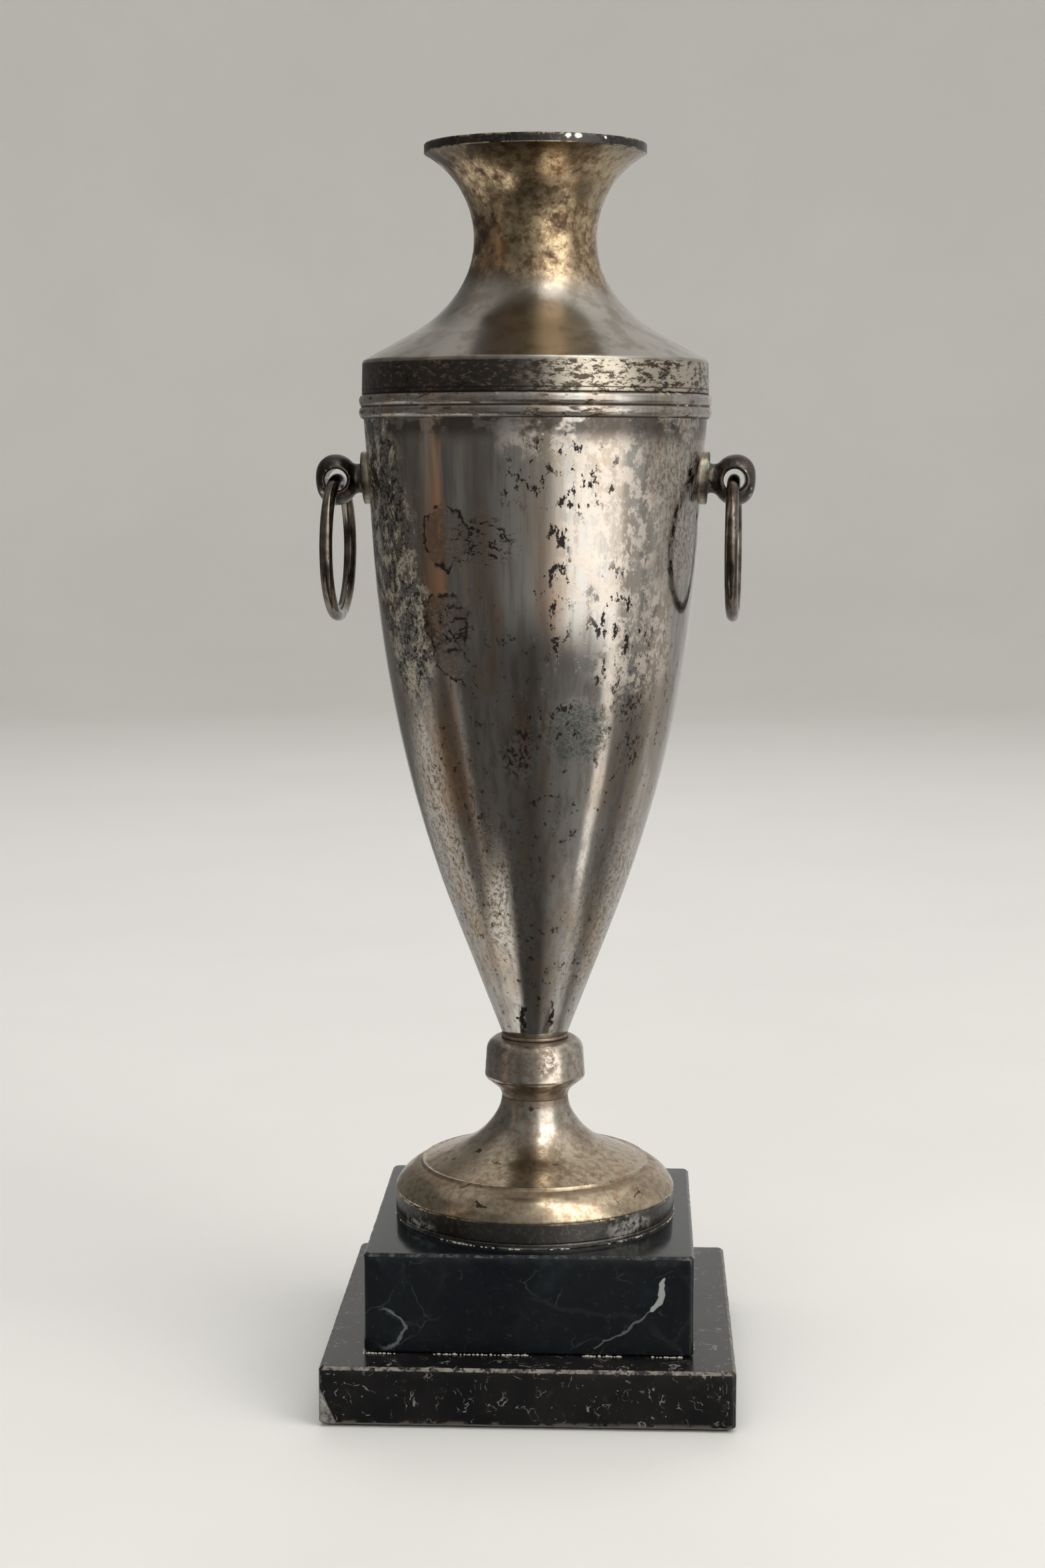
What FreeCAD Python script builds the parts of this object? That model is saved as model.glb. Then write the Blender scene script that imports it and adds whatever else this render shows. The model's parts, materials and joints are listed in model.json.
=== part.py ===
"""Urn-shaped cup trophy on a stepped stone plinth, in millimetres.

The origin is the centre of the underside. +Z points up, -Y is the front, and the two ring
handles lie along X. A quarter-inch rod clamps slab, block, foot, knop and cup together.
Every shell is a body of revolution about Z. The handles are drawn in a frame of their own,
with its origin in the middle of the eyelet's hole and +Z along the stud, away from the cup.
"""

import FreeCAD, Part

import math
import os
import re

import Sketcher

SIZES = {
    # stone base and its hardware
    "felt_thick": 0.8,
    "felt_inset": 2.5,
    "slab_side": 127.0,
    "slab_thick": 18.25,
    "block_side": 101.6,
    "block_thick": 31.75,
    "stone_corner": 1.5,
    "stone_bevel": 0.9,
    "bore_radius": 4.0,
    "recess_radius": 11.0,
    "recess_depth": 9.0,
    "rod_radius": 3.175,
    "rod_chamfer": 0.6,
    "rod_below_nut": 1.0,
    "rod_above_nut": 2.0,
    "nut_flats": 11.1,
    "nut_thick": 5.6,
    "washer_radius": 7.9,
    "washer_thick": 1.2,
    "thread_play": 0.03,
    # sheet thicknesses
    "wall": 1.0,
    "foot_wall": 0.8,
    # foot
    "skirt_radius": 45.0,
    "skirt_height": 8.05,
    "skirt_wall": 1.3,
    "skirt_groove_rise": 1.3,
    "skirt_groove": 0.3,
    "dome_arc": 13.0,
    "step_radius": 36.8,
    "step_rise": 8.05,
    "ridge_radius": 36.4,
    "ridge_rise": 9.15,
    "valley_radius": 35.5,
    "foot_height": 30.15,
    "foot_neck_radius": 10.6,
    "foot_neck_arc": 13.2,
    "foot_neck_turn": 29.0,
    "foot_flare_arc": 25.6,
    "foot_flare_turn": 67.5,
    # knop
    "knop_height": 19.2,
    "knop_waist_arc": 5.0,
    "knop_waist_rise": 3.4,
    "knop_waist_out": 12.5,
    "knop_under_radius": 15.5,
    "knop_under_rise": 5.8,
    "knop_belly_radius": 16.1,
    "knop_belly_rise": 7.5,
    "knop_heel_arc": 1.7,
    "knop_top_radius": 15.6,
    "knop_shoulder_rise": 14.8,
    "knop_shoulder_arc": 4.4,
    "knop_crown_radius": 11.3,
    "knop_wall": 1.2,
    # cup
    "seat_height": 1.3,
    "seat_inner": 8.6,
    "seat_outer": 10.4,
    "seat_arc": 0.6825,
    "cup_floor": 1.2,
    "cup_height": 203.3,
    "cup_collar": 7.6,
    "cup_radius": 53.64,
    "cup_taper": 3.72,
    "cup_taper_length": 39.7,
    "cup_arc": 401.5,
    "cup_point_angle": 21.14,
    "bead_foot_radius": 53.9,
    "bead_radius": 2.3,
    "bead_valley_radius": 54.33,
    "fit_gap": 0.02,
    # shoulder, neck and mouth
    "band_radius": 54.2,
    "band_top_radius": 54.0,
    "band_height": 9.5,
    "shoulder_corner": 1.3,
    "shoulder_corner_inset": 0.78,
    "shoulder_slope": 61.1,
    "shoulder_arc": 42.1,
    "neck_turn": 36.8,
    "neck_arc": 29.1,
    "neck_radius": 19.15,
    "neck_rise": 48.0,
    "mouth_rise": 73.6,
    "rim_radius": 34.48,
    "rim_height": 2.9,
    "rim_lip_radius": 33.2,
    "rim_edge": 0.45,
    # handles
    "handle_reach": 62.3,
    "handle_level": 286.4,
    "plate_radius": 8.25,
    "plate_thick": 1.8,
    "plate_edge": 0.5,
    "lug_root_radius": 4.95,
    "lug_neck_arc": 2.5,
    "lug_flare_back": 4.7,
    "lug_flare_radius": 5.6,
    "lug_cheek_arc": 6.9,
    "lug_crest": 0.55,
    "lug_radius": 8.0,
    "lug_brow_arc": 6.0,
    "lug_cap_radius": 3.5,
    "lug_cap_rise": 6.35,
    "lug_end": 6.75,
    "lug_tip_radius": 0.8,
    "lug_cap_arc": 13.0,
    "eye_radius": 3.45,
    "eye_easing": 0.7,
    "stud_radius": 2.0,
    "stud_play": 0.1,
    "stud_past_nut": 1.2,
    "handle_washer_radius": 4.5,
    "handle_washer_thick": 0.8,
    "handle_washer_gap": 0.25,
    "handle_nut_flats": 7.0,
    "handle_nut_thick": 3.2,
    "ring_radius": 21.2,
    "wire_radius": 2.05,
    "ring_drop": 0.05,
    "ring_turn": -4.0,
}

doc = FreeCAD.newDocument("cup_trophy")
sheet = doc.addObject("Spreadsheet::Sheet", "Sizes")
for row, (alias, number) in enumerate(SIZES.items(), start=1):
    sheet.set(f"A{row}", alias)
    sheet.set(f"B{row}", str(number))
    sheet.setAlias(f"B{row}", alias)
doc.recompute()


def bound(text):
    """The expression with every sheet alias in it written as a reference to the sheet."""
    return re.sub(r"[a-z_]+", lambda m: f"Sizes.{m[0]}" if m[0] in SIZES else m[0], str(text))


def value(text):
    """The number that an expression has at present."""
    return float(sheet.evalExpression(bound(text)))


def join(*terms):
    return " + ".join(f"({term})" for term in terms)


# Levels above the underside, as expressions.
SLAB_TOP = join("felt_thick", "slab_thick")
BLOCK_TOP = join(SLAB_TOP, "block_thick")
FOOT_BASE = join(BLOCK_TOP, "skirt_height")
KNOP_BASE = join(FOOT_BASE, "foot_height")
SEAT_BASE = join(KNOP_BASE, "knop_height")
CUP_BASE = join(SEAT_BASE, "seat_height")
CUP_TOP = join(CUP_BASE, "cup_height")
BEAD_BASE = join(CUP_TOP, "-cup_collar")
MOUTH = join(CUP_TOP, "mouth_rise")


def new_body(name, level="0"):
    """An empty body whose own zero is at a level above the underside."""
    body = doc.addObject("PartDesign::Body", name)
    body.Label = name
    if level != "0":
        body.setExpression("Placement.Base.z", bound(level))
    return body


def new_sketch(body, name, role):
    sketch = body.newObject("Sketcher::SketchObject", name)
    plane = next(f for f in body.Origin.OriginFeatures if f.Role == role)
    sketch.AttachmentSupport = (plane, "")
    sketch.MapMode = "FlatFace"
    return sketch


def bind(sketch, kind, places, text):
    """Adds a dimension to the sketch and binds it to an expression."""
    index = sketch.addConstraint(Sketcher.Constraint(kind, *places, value(text)))
    sketch.setExpression(f"Constraints[{index}]", bound(text))


def outline(body, name, corners, role="XZ_Plane"):
    """Draws a closed outline. A corner is (across, up), and a third entry is the radius of
    the arc that leaves it: positive turns left and negative turns right."""
    sketch = new_sketch(body, name, role)
    points = [FreeCAD.Vector(value(c[0]), value(c[1]), 0) for c in corners]
    ends = []
    for i, corner in enumerate(corners):
        start, stop = points[i], points[(i + 1) % len(points)]
        if len(corner) == 2:
            sketch.addGeometry(Part.LineSegment(start, stop))
            ends.append((1, 2))
            continue
        radius = value(corner[2])
        left = radius > 0
        a, b = (start, stop) if left else (stop, start)
        chord = b - a
        side = FreeCAD.Vector(-chord.y, chord.x, 0).normalize()
        centre = (a + b) * 0.5 + side * math.sqrt(radius**2 - (chord.Length / 2) ** 2)
        turns = [math.atan2(p.y - centre.y, p.x - centre.x) for p in (a, b)]
        if turns[1] < turns[0]:
            turns[1] += 2 * math.pi
        circle = Part.Circle(centre, FreeCAD.Vector(0, 0, 1), abs(radius))
        sketch.addGeometry(Part.ArcOfCircle(circle, *turns))
        ends.append((1, 2) if left else (2, 1))
    for i, corner in enumerate(corners):
        after = (i + 1) % len(corners)
        sketch.addConstraint(Sketcher.Constraint("Coincident", i, ends[i][1], after, ends[after][0]))
        if str(corner[0]) == "0":
            sketch.addConstraint(Sketcher.Constraint("PointOnObject", i, ends[i][0], -2))
        else:
            bind(sketch, "DistanceX", (-1, 1, i, ends[i][0]), corner[0])
        bind(sketch, "DistanceY", (-1, 1, i, ends[i][0]), corner[1])
        if len(corner) == 3:
            bind(sketch, "Radius", (i,), f"abs({corner[2]})")
    return sketch


def circles(body, name, radii, role="XY_Plane", up="0"):
    """Draws circles with one centre, on the sketch's upright axis."""
    sketch = new_sketch(body, name, role)
    centre = FreeCAD.Vector(0, value(up), 0)
    for i, radius in enumerate(radii):
        circle = Part.Circle(centre, FreeCAD.Vector(0, 0, 1), value(radius))
        sketch.addGeometry(circle)
        bind(sketch, "DistanceY", (-1, 1, i, 3), up)
        sketch.addConstraint(Sketcher.Constraint("PointOnObject", i, 3, -2))
        bind(sketch, "Radius", (i,), radius)
    return sketch


def spin(body, name, corners):
    """Adds the body of revolution of an outline about Z."""
    sketch = outline(body, name + "_outline", corners)
    feature = body.newObject("PartDesign::Revolution", name)
    feature.Profile = sketch
    feature.ReferenceAxis = (sketch, ["V_Axis"])
    feature.Angle = 360
    sketch.Visibility = False
    doc.recompute()
    return feature


def raise_pad(body, name, sketch, length):
    pad = body.newObject("PartDesign::Pad", name)
    pad.Profile = sketch
    pad.setExpression("Length", bound(length))
    doc.recompute()
    return pad


def sink_pocket(body, name, sketch, length, both_ways=False):
    """Cuts up into the solid from the sketch, or both ways."""
    pocket = body.newObject("PartDesign::Pocket", name)
    pocket.Profile = sketch
    pocket.setExpression("Length", bound(length))
    pocket.Midplane = both_ways
    pocket.Reversed = not both_ways
    doc.recompute()
    return pocket


def edge_names(feature, wanted):
    """The names of the feature's edges that pass a test."""
    return [f"Edge{i}" for i, edge in enumerate(feature.Shape.Edges, start=1) if wanted(edge)]


def square(body, name, side):
    half = f"({side}) / 2"
    corners = [(f"-{half}", f"-{half}"), (half, f"-{half}"), (half, half), (f"-{half}", half)]
    return outline(body, name, corners, "XY_Plane")


def square_stone(name, side, thick, level):
    """A square slab with rounded upright edges and bevelled edges above and below."""
    body = new_body(name, level)
    pad = raise_pad(body, "slab", square(body, "plan", side), thick)
    corners = body.newObject("PartDesign::Fillet", "corners")
    corners.Base = (pad, edge_names(pad, lambda e: abs(e.tangentAt(e.FirstParameter).z) > 0.9))
    corners.setExpression("Radius", bound("stone_corner"))
    doc.recompute()
    bevel = body.newObject("PartDesign::Chamfer", "bevel")
    bevel.Base = (corners, edge_names(corners, lambda e: e.BoundBox.ZLength < 1e-6))
    bevel.setExpression("Size", bound("stone_bevel"))
    doc.recompute()
    sink_pocket(body, "bore", circles(body, "bore_circle", ["bore_radius"]), thick)
    return body


def hex_nut(body, flats, thick, bore):
    corner = f"({flats}) / sqrt(3)"
    turns = [60 * i for i in range(6)]
    corners = [(f"{corner} * cos({turn})", f"{corner} * sin({turn})") for turn in turns]
    raise_pad(body, "hexagon", outline(body, "hexagon_plan", corners, "XY_Plane"), thick)
    sink_pocket(body, "thread", circles(body, "thread_circle", [bore]), thick)


def flat_washer(body, radius, thick, bore):
    raise_pad(body, "disc", circles(body, "disc_circles", [radius, bore]), thick)


def arc_point(centre, radius, turn, side=-1):
    """A point of an arc: centre is (across, up), and turn is the angle of the surface's
    normal above the horizontal, in degrees."""
    across = f"({centre[0]}) + {side} * ({radius}) * cos({turn})"
    up = f"({centre[1]}) + {side} * ({radius}) * sin({turn})"
    return across, up


def make_base():
    felt = new_body("felt_pad")
    side = "slab_side - 2 * felt_inset"
    raise_pad(felt, "pad", square(felt, "plan", side), "felt_thick")

    slab = square_stone("base_slab", "slab_side", "slab_thick", "felt_thick")
    recess = circles(slab, "recess_circle", ["recess_radius"])
    sink_pocket(slab, "recess", recess, "recess_depth")
    block = square_stone("plinth_block", "block_side", "block_thick", SLAB_TOP)

    bore = "rod_radius + thread_play"
    recess_top = join("felt_thick", "recess_depth")
    washer_base = join(recess_top, "-washer_thick")
    nut_base = join(washer_base, "-nut_thick")
    washer = new_body("base_washer", washer_base)
    flat_washer(washer, "washer_radius", "washer_thick", bore)
    nut = new_body("base_nut", nut_base)
    hex_nut(nut, "nut_flats", "nut_thick", bore)

    cup_washer_base = join(CUP_BASE, "cup_floor")
    cup_nut_base = join(cup_washer_base, "washer_thick")
    cup_washer = new_body("cup_washer", cup_washer_base)
    flat_washer(cup_washer, "washer_radius", "washer_thick", bore)
    cup_nut = new_body("cup_nut", cup_nut_base)
    hex_nut(cup_nut, "nut_flats", "nut_thick", bore)

    rod = new_body("tie_rod")
    low = join(nut_base, "-rod_below_nut")
    high = join(cup_nut_base, "nut_thick", "rod_above_nut")
    corners = [
        ("0", low),
        ("rod_radius - rod_chamfer", low),
        ("rod_radius", join(low, "rod_chamfer")),
        ("rod_radius", join(high, "-rod_chamfer")),
        ("rod_radius - rod_chamfer", high),
        ("0", high),
    ]
    spin(rod, "rod", corners)
    return [felt, slab, block, washer, nut, cup_washer, cup_nut, rod]


def make_foot():
    skirt = new_body("foot_skirt", BLOCK_TOP)
    groove = "skirt_groove_rise"
    corners = [
        ("skirt_radius - skirt_wall", "0"),
        ("skirt_radius", "0"),
        ("skirt_radius", groove),
        ("skirt_radius - skirt_groove", join(groove, "skirt_groove")),
        ("skirt_radius", join(groove, "2 * skirt_groove")),
        ("skirt_radius", "skirt_height"),
        ("skirt_radius - skirt_wall", "skirt_height"),
    ]
    spin(skirt, "skirt", corners)

    foot = new_body("foot", FOOT_BASE)
    neck = ("foot_neck_radius + foot_neck_arc", "foot_height + foot_wall")
    flare_across, flare_up = arc_point(neck, "foot_neck_arc - foot_flare_arc", "foot_neck_turn")
    flare = (flare_across, flare_up)
    knee = arc_point(neck, "foot_neck_arc", "foot_neck_turn")
    brink = arc_point(flare, "foot_flare_arc", "foot_flare_turn")
    inner_knee = arc_point(neck, "foot_neck_arc + foot_wall", "foot_neck_turn")
    inner_brink = arc_point(flare, "foot_flare_arc + foot_wall", "foot_flare_turn")
    fall = f"({brink[1]}) - (valley_radius - ({brink[0]})) / tan(foot_flare_turn)"
    corners = [
        ("skirt_radius - skirt_wall", "0"),
        ("skirt_radius", "0"),
        ("skirt_radius", "foot_wall", "dome_arc"),
        ("step_radius", "step_rise"),
        ("ridge_radius", "ridge_rise"),
        ("valley_radius", fall),
        (*brink, "-foot_flare_arc"),
        (*knee, "-foot_neck_arc"),
        ("foot_neck_radius", "foot_height"),
        ("foot_neck_radius - foot_wall", "foot_height", "foot_neck_arc + foot_wall"),
        (*inner_knee, "foot_flare_arc + foot_wall"),
        inner_brink,
        ("valley_radius", "step_rise - foot_wall", "-(dome_arc - foot_wall)"),
    ]
    spin(foot, "shell", corners)

    knop = new_body("knop", KNOP_BASE)
    corners = [
        ("foot_neck_radius - knop_wall", "0"),
        ("foot_neck_radius", "0", "-knop_waist_arc"),
        ("knop_waist_out", "knop_waist_rise"),
        ("knop_under_radius", "knop_under_rise", "knop_heel_arc"),
        ("knop_belly_radius", "knop_belly_rise"),
        ("knop_top_radius", "knop_shoulder_rise", "knop_shoulder_arc"),
        ("knop_crown_radius", "knop_height"),
        ("bore_radius", "knop_height"),
        ("bore_radius", "knop_height - knop_wall"),
        ("knop_crown_radius", "knop_height - knop_wall", "-(knop_shoulder_arc - knop_wall)"),
        ("knop_top_radius - knop_wall", "knop_shoulder_rise"),
        ("knop_belly_radius - knop_wall", "knop_belly_rise"),
        ("knop_waist_out - knop_wall", "knop_waist_rise + knop_wall"),
    ]
    spin(knop, "shell", corners)
    return [skirt, foot, knop]


def make_cup():
    seat = new_body("cup_seat_bead", SEAT_BASE)
    corners = [
        ("seat_inner", "0"),
        ("seat_outer", "0", "seat_arc"),
        ("seat_outer", "seat_height"),
        ("seat_inner", "seat_height"),
    ]
    spin(seat, "bead", corners)

    cup = new_body("cup_body", CUP_BASE)
    collar = join("cup_height", "-cup_collar")
    bend_up = join(collar, "-cup_taper_length")
    bend = ("cup_radius - cup_taper_length * tan(cup_taper)", bend_up)
    centre = arc_point(bend, "cup_arc", "-cup_taper")
    point_up = f"({centre[1]}) - cup_arc * sin(cup_point_angle)"
    point = (f"({centre[0]}) + cup_arc * cos(cup_point_angle)", point_up)
    inner_bend = arc_point(centre, "cup_arc - wall", "-cup_taper", 1)
    inner_point = arc_point(centre, "cup_arc - wall", "-cup_point_angle", 1)
    tip = f"({point[0]}) - ({point[1]}) * tan(cup_point_angle)"
    floor = f"({inner_point[0]}) - (({inner_point[1]}) - cup_floor) * tan(cup_point_angle)"
    corners = [
        ("bore_radius", "0"),
        (tip, "0"),
        (*point, "cup_arc"),
        bend,
        ("cup_radius", collar),
        ("cup_radius", "cup_height"),
        ("cup_radius - wall", "cup_height"),
        ("cup_radius - wall", collar),
        (*inner_bend, "-(cup_arc - wall)"),
        inner_point,
        (floor, "cup_floor"),
        ("bore_radius", "cup_floor"),
    ]
    spin(cup, "shell", corners)
    for side in (1, -1):
        hole = cup.newObject("PartDesign::SubtractiveCylinder", f"stud_hole_{side + 1}")
        hole.setExpression("Radius", bound("stud_radius + stud_play"))
        hole.setExpression("Height", bound("handle_reach / 2"))
        level = f"handle_level - ({CUP_BASE})"
        place = placing(f"{side} * handle_reach", level, f"{side} * (cup_taper - 90)")
        hole.setExpression("Placement", place)
        doc.recompute()

    beads = new_body("bead_band", BEAD_BASE)
    half = "cup_collar / 2"
    corners = [
        ("cup_radius + fit_gap", "0"),
        ("bead_foot_radius", "0", "bead_radius"),
        ("bead_valley_radius", half, "bead_radius"),
        ("bead_foot_radius", "cup_collar"),
        ("cup_radius + fit_gap", "cup_collar"),
    ]
    spin(beads, "beads", corners)
    return [seat, cup, beads]


def make_top():
    top = new_body("shoulder_neck", CUP_TOP)
    waist = ("neck_radius + neck_arc", "neck_rise")
    sweep = arc_point(waist, "neck_arc - shoulder_arc", "neck_turn")
    low_knee = arc_point(waist, "neck_arc", "neck_turn")
    inner_knee = arc_point(waist, "neck_arc + wall", "neck_turn")
    brow = arc_point(sweep, "shoulder_arc", "shoulder_slope")
    inner_brow = arc_point(sweep, "shoulder_arc + wall", "shoulder_slope")
    corner = "band_top_radius - shoulder_corner_inset"
    corner_up = f"({brow[1]}) - (({corner}) - ({brow[0]})) / tan(shoulder_slope)"
    inner = "band_radius - wall"
    inner_up = f"({inner_brow[1]}) - (({inner}) - ({inner_brow[0]})) / tan(shoulder_slope)"
    mouth_drop = "sqrt((neck_arc)^2 - (mouth_rise - neck_rise)^2)"
    mouth = f"neck_radius + neck_arc - {mouth_drop}"
    inner_drop = "sqrt((neck_arc + wall)^2 - (mouth_rise - neck_rise)^2)"
    inner_mouth = f"neck_radius + neck_arc - {inner_drop}"
    corners = [
        (inner, "0"),
        ("band_radius", "0"),
        ("band_top_radius", "band_height", "shoulder_corner"),
        (corner, corner_up),
        (*brow, "-shoulder_arc"),
        (*low_knee, "-neck_arc"),
        (mouth, "mouth_rise"),
        (inner_mouth, "mouth_rise", "neck_arc + wall"),
        (*inner_knee, "shoulder_arc + wall"),
        inner_brow,
        (inner, inner_up),
    ]
    spin(top, "shell", corners)

    rim = new_body("mouth_rim", MOUTH)
    corners = [
        (inner_mouth, "0"),
        ("rim_radius", "0"),
        ("rim_radius", "rim_height - rim_edge", "rim_edge"),
        ("rim_radius - rim_edge", "rim_height"),
        ("rim_lip_radius + rim_edge", "rim_height", "rim_edge"),
        ("rim_lip_radius", "rim_height - rim_edge"),
    ]
    spin(rim, "rim", corners)
    return [top, rim]


def placing(across, level, tilt, turn="0"):
    """The expression of a placement: turned about Z, after a tilt about Y, in degrees."""
    where = f"vector({bound(across)}; 0; {bound(level)})"
    turned = f"rotation(vector(0; 0; 1); {bound(turn)})"
    tilted = f"rotation(vector(0; 1; 0); {bound(tilt)})"
    return f"placement({where}; {turned} * {tilted})"


# In the handle's frame: how far back the wall lies, and the radius that it curves to there.
WALL_DROP = f"({BEAD_BASE}) - handle_level"
WALL_BACK = f"(handle_reach - cup_radius + ({WALL_DROP}) * tan(cup_taper)) * cos(cup_taper)"
WALL_CURVE = f"(handle_reach - ({WALL_BACK}) * cos(cup_taper)) / cos(cup_taper)"


def handle_body(name, side, along="0"):
    """A body whose +Z is the stud's axis, square to the wall, a way along it."""
    body = new_body(name)
    turn = "0" if side > 0 else "180"
    place = placing(f"{side} * handle_reach", "handle_level", "cup_taper + 90", turn)
    slid = f"placement(vector(0; 0; {bound(along)}); rotation(vector(0; 0; 1); 0))"
    body.setExpression("Placement", f"{place} * {slid}")
    return body


def make_handle(side, hand):
    plate = handle_body("backplate_" + hand, side)
    back = f"-({WALL_BACK}) - plate_thick"
    front = f"-({WALL_BACK}) + plate_thick"
    bore = "stud_radius + stud_play"
    corners = [
        (bore, back),
        ("plate_radius", back),
        ("plate_radius", f"({front}) - plate_edge", "plate_edge"),
        ("plate_radius - plate_edge", front),
        (bore, front),
    ]
    spin(plate, "disc", corners)
    centre = f"-({WALL_BACK}) - ({WALL_CURVE})"
    wall = circles(plate, "wall_circle", [WALL_CURVE], "YZ_Plane", centre)
    sink_pocket(plate, "seat", wall, "4 * plate_radius", both_ways=True)

    washer_base = f"-({WALL_BACK}) - wall - handle_washer_gap - handle_washer_thick"
    nut_base = f"{washer_base} - handle_nut_thick"
    washer = handle_body("handle_washer_" + hand, side, washer_base)
    flat_washer(washer, "handle_washer_radius", "handle_washer_thick", bore)
    nut = handle_body("handle_nut_" + hand, side, nut_base)
    hex_nut(nut, "handle_nut_flats", "handle_nut_thick", "stud_radius + thread_play")

    eyelet = handle_body("eyelet_" + hand, side)
    stud_end = f"{nut_base} - stud_past_nut"
    corners = [
        ("0", stud_end),
        ("stud_radius", stud_end),
        ("stud_radius", front),
        ("lug_root_radius", front, "-lug_neck_arc"),
        ("lug_flare_radius", "-lug_flare_back", "lug_cheek_arc"),
        ("lug_radius", "lug_crest", "lug_brow_arc"),
        ("lug_cap_radius", "lug_cap_rise", "lug_cap_arc"),
        ("lug_tip_radius", "lug_end"),
        ("0", "lug_end"),
    ]
    spin(eyelet, "stud_and_lug", corners)
    eye = circles(eyelet, "eye_circle", ["eye_radius"], "XZ_Plane")
    drilled = sink_pocket(eyelet, "eye", eye, "4 * lug_radius", both_ways=True)
    easing = eyelet.newObject("PartDesign::Fillet", "eye_easing")
    easing.Base = (drilled, edge_names(drilled, is_eye_mouth))
    easing.setExpression("Radius", bound("eye_easing"))
    doc.recompute()

    ring = doc.addObject("Part::Torus", "ring_" + hand)
    ring.Label = "ring_" + hand
    ring.setExpression("Radius1", bound("ring_radius"))
    ring.setExpression("Radius2", bound("wire_radius"))
    hang = "handle_level - ring_drop - ring_radius"
    ring.setExpression("Placement", placing(f"{side} * handle_reach", hang, "90", "ring_turn"))
    doc.recompute()
    return [plate, eyelet, washer, nut, ring]


def is_eye_mouth(edge):
    """True for the edges where the eyelet's hole comes out of the lug."""
    if edge.Degenerated:
        return False
    samples = edge.discretize(5)
    on_hole = all(abs(math.hypot(p.x, p.z) - value("eye_radius")) < 1e-3 for p in samples)
    return on_hole and edge.BoundBox.YLength < value("eye_radius")


def check(parts):
    """Stops if any object failed or any part has no valid shape."""
    doc.recompute()
    for item in doc.Objects:
        if "Invalid" in item.State or "Error" in item.State:
            raise RuntimeError(f"{item.Label} failed: {item.State}")
    for part in parts:
        shape = part.Shape
        if shape.isNull() or not shape.isValid() or len(shape.Solids) != 1:
            raise RuntimeError(f"{part.Label} has no single valid solid")


parts = make_base() + make_foot() + make_cup() + make_top()
parts += make_handle(1, "right") + make_handle(-1, "left")
check(parts)
os.makedirs("parts", exist_ok=True)
for part in parts:
    part.Shape.exportStep(os.path.join("parts", part.Label + ".step"))
    size = part.Shape.BoundBox
    print(f"{part.Label:22s} volume {part.Shape.Volume:10.1f}  z {size.ZMin:8.3f} to {size.ZMax:8.3f}")
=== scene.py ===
"""Looks of an urn-shaped cup trophy with two ring handles on a stepped stone plinth.

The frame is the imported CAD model, in metres, with the front facing -Y. Outlines of turned
pieces are in millimetres, as (distance from the axis, height). A bearing is an angle about
the axis in degrees: 0 is the front, and 90 is the right-hand side, +X.
"""

import json
import math
import random

import bmesh
import bpy
import numpy as np
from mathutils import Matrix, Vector, noise


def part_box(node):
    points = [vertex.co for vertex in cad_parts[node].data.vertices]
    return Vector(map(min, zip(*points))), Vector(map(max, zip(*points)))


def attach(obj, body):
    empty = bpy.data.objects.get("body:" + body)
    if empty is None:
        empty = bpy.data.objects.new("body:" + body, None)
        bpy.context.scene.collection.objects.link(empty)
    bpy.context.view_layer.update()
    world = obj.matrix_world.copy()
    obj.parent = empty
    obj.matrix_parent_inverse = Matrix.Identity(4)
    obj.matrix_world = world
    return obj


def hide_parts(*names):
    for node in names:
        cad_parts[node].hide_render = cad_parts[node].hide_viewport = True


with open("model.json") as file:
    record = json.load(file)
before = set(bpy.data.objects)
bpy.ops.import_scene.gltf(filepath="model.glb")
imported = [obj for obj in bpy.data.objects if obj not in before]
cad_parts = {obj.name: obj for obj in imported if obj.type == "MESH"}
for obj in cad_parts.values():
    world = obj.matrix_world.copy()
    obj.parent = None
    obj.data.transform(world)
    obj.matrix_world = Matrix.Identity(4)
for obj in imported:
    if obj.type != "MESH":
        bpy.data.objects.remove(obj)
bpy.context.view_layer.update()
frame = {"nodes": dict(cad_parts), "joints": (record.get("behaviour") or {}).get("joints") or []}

MM = 0.001
BODY = "trophy"
WALL = 1.0  # the thickness of the cup's and the shoulder's shells, in millimetres
UPRIGHT = (1, 1, 0.05)  # squeezes a pattern so that it runs in upright streaks
NEAR_WHITE = (1.0, 0.985, 0.95)
TENT_STRENGTH = 4.0
TARGET = (0, 0, 0.2)  # the point that the lights face

# --------------------------------------------------------------------------- outlines


def low(node):
    """The level of a node's underside, in millimetres."""
    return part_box(node)[0].z / MM


def high(node):
    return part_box(node)[1].z / MM


def reach(node):
    """How far a node stands out from the axis, in millimetres."""
    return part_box(node)[1].x / MM


def trace(corners, step):
    """Points along an open outline, without its last corner. A corner is (across, up), and
    a third entry is the radius of the arc that leaves it, negative if it turns right."""
    points = []
    for here, there in zip(corners, corners[1:]):
        start = np.array(here[:2], float)
        chord = np.array(there[:2], float) - start
        length = math.hypot(*chord)
        if len(here) == 2:
            count = max(1, round(length / step))
            points += [start + chord * k / count for k in range(count)]
            continue
        radius = here[2]
        half = math.asin(min(1.0, length / 2 / abs(radius)))
        side = np.array([-chord[1], chord[0]]) / length * math.copysign(1, radius)
        centre = start + chord / 2 + side * abs(radius) * math.cos(half)
        spoke = start - centre
        count = max(5, math.ceil(2 * half * abs(radius) / step))
        for k in range(count):
            turn = math.copysign(2 * half * k / count, radius)
            c, s = math.cos(turn), math.sin(turn)
            across, up = spoke
            points.append(centre + np.array([c * across - s * up, s * across + c * up]))
    return points


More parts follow.
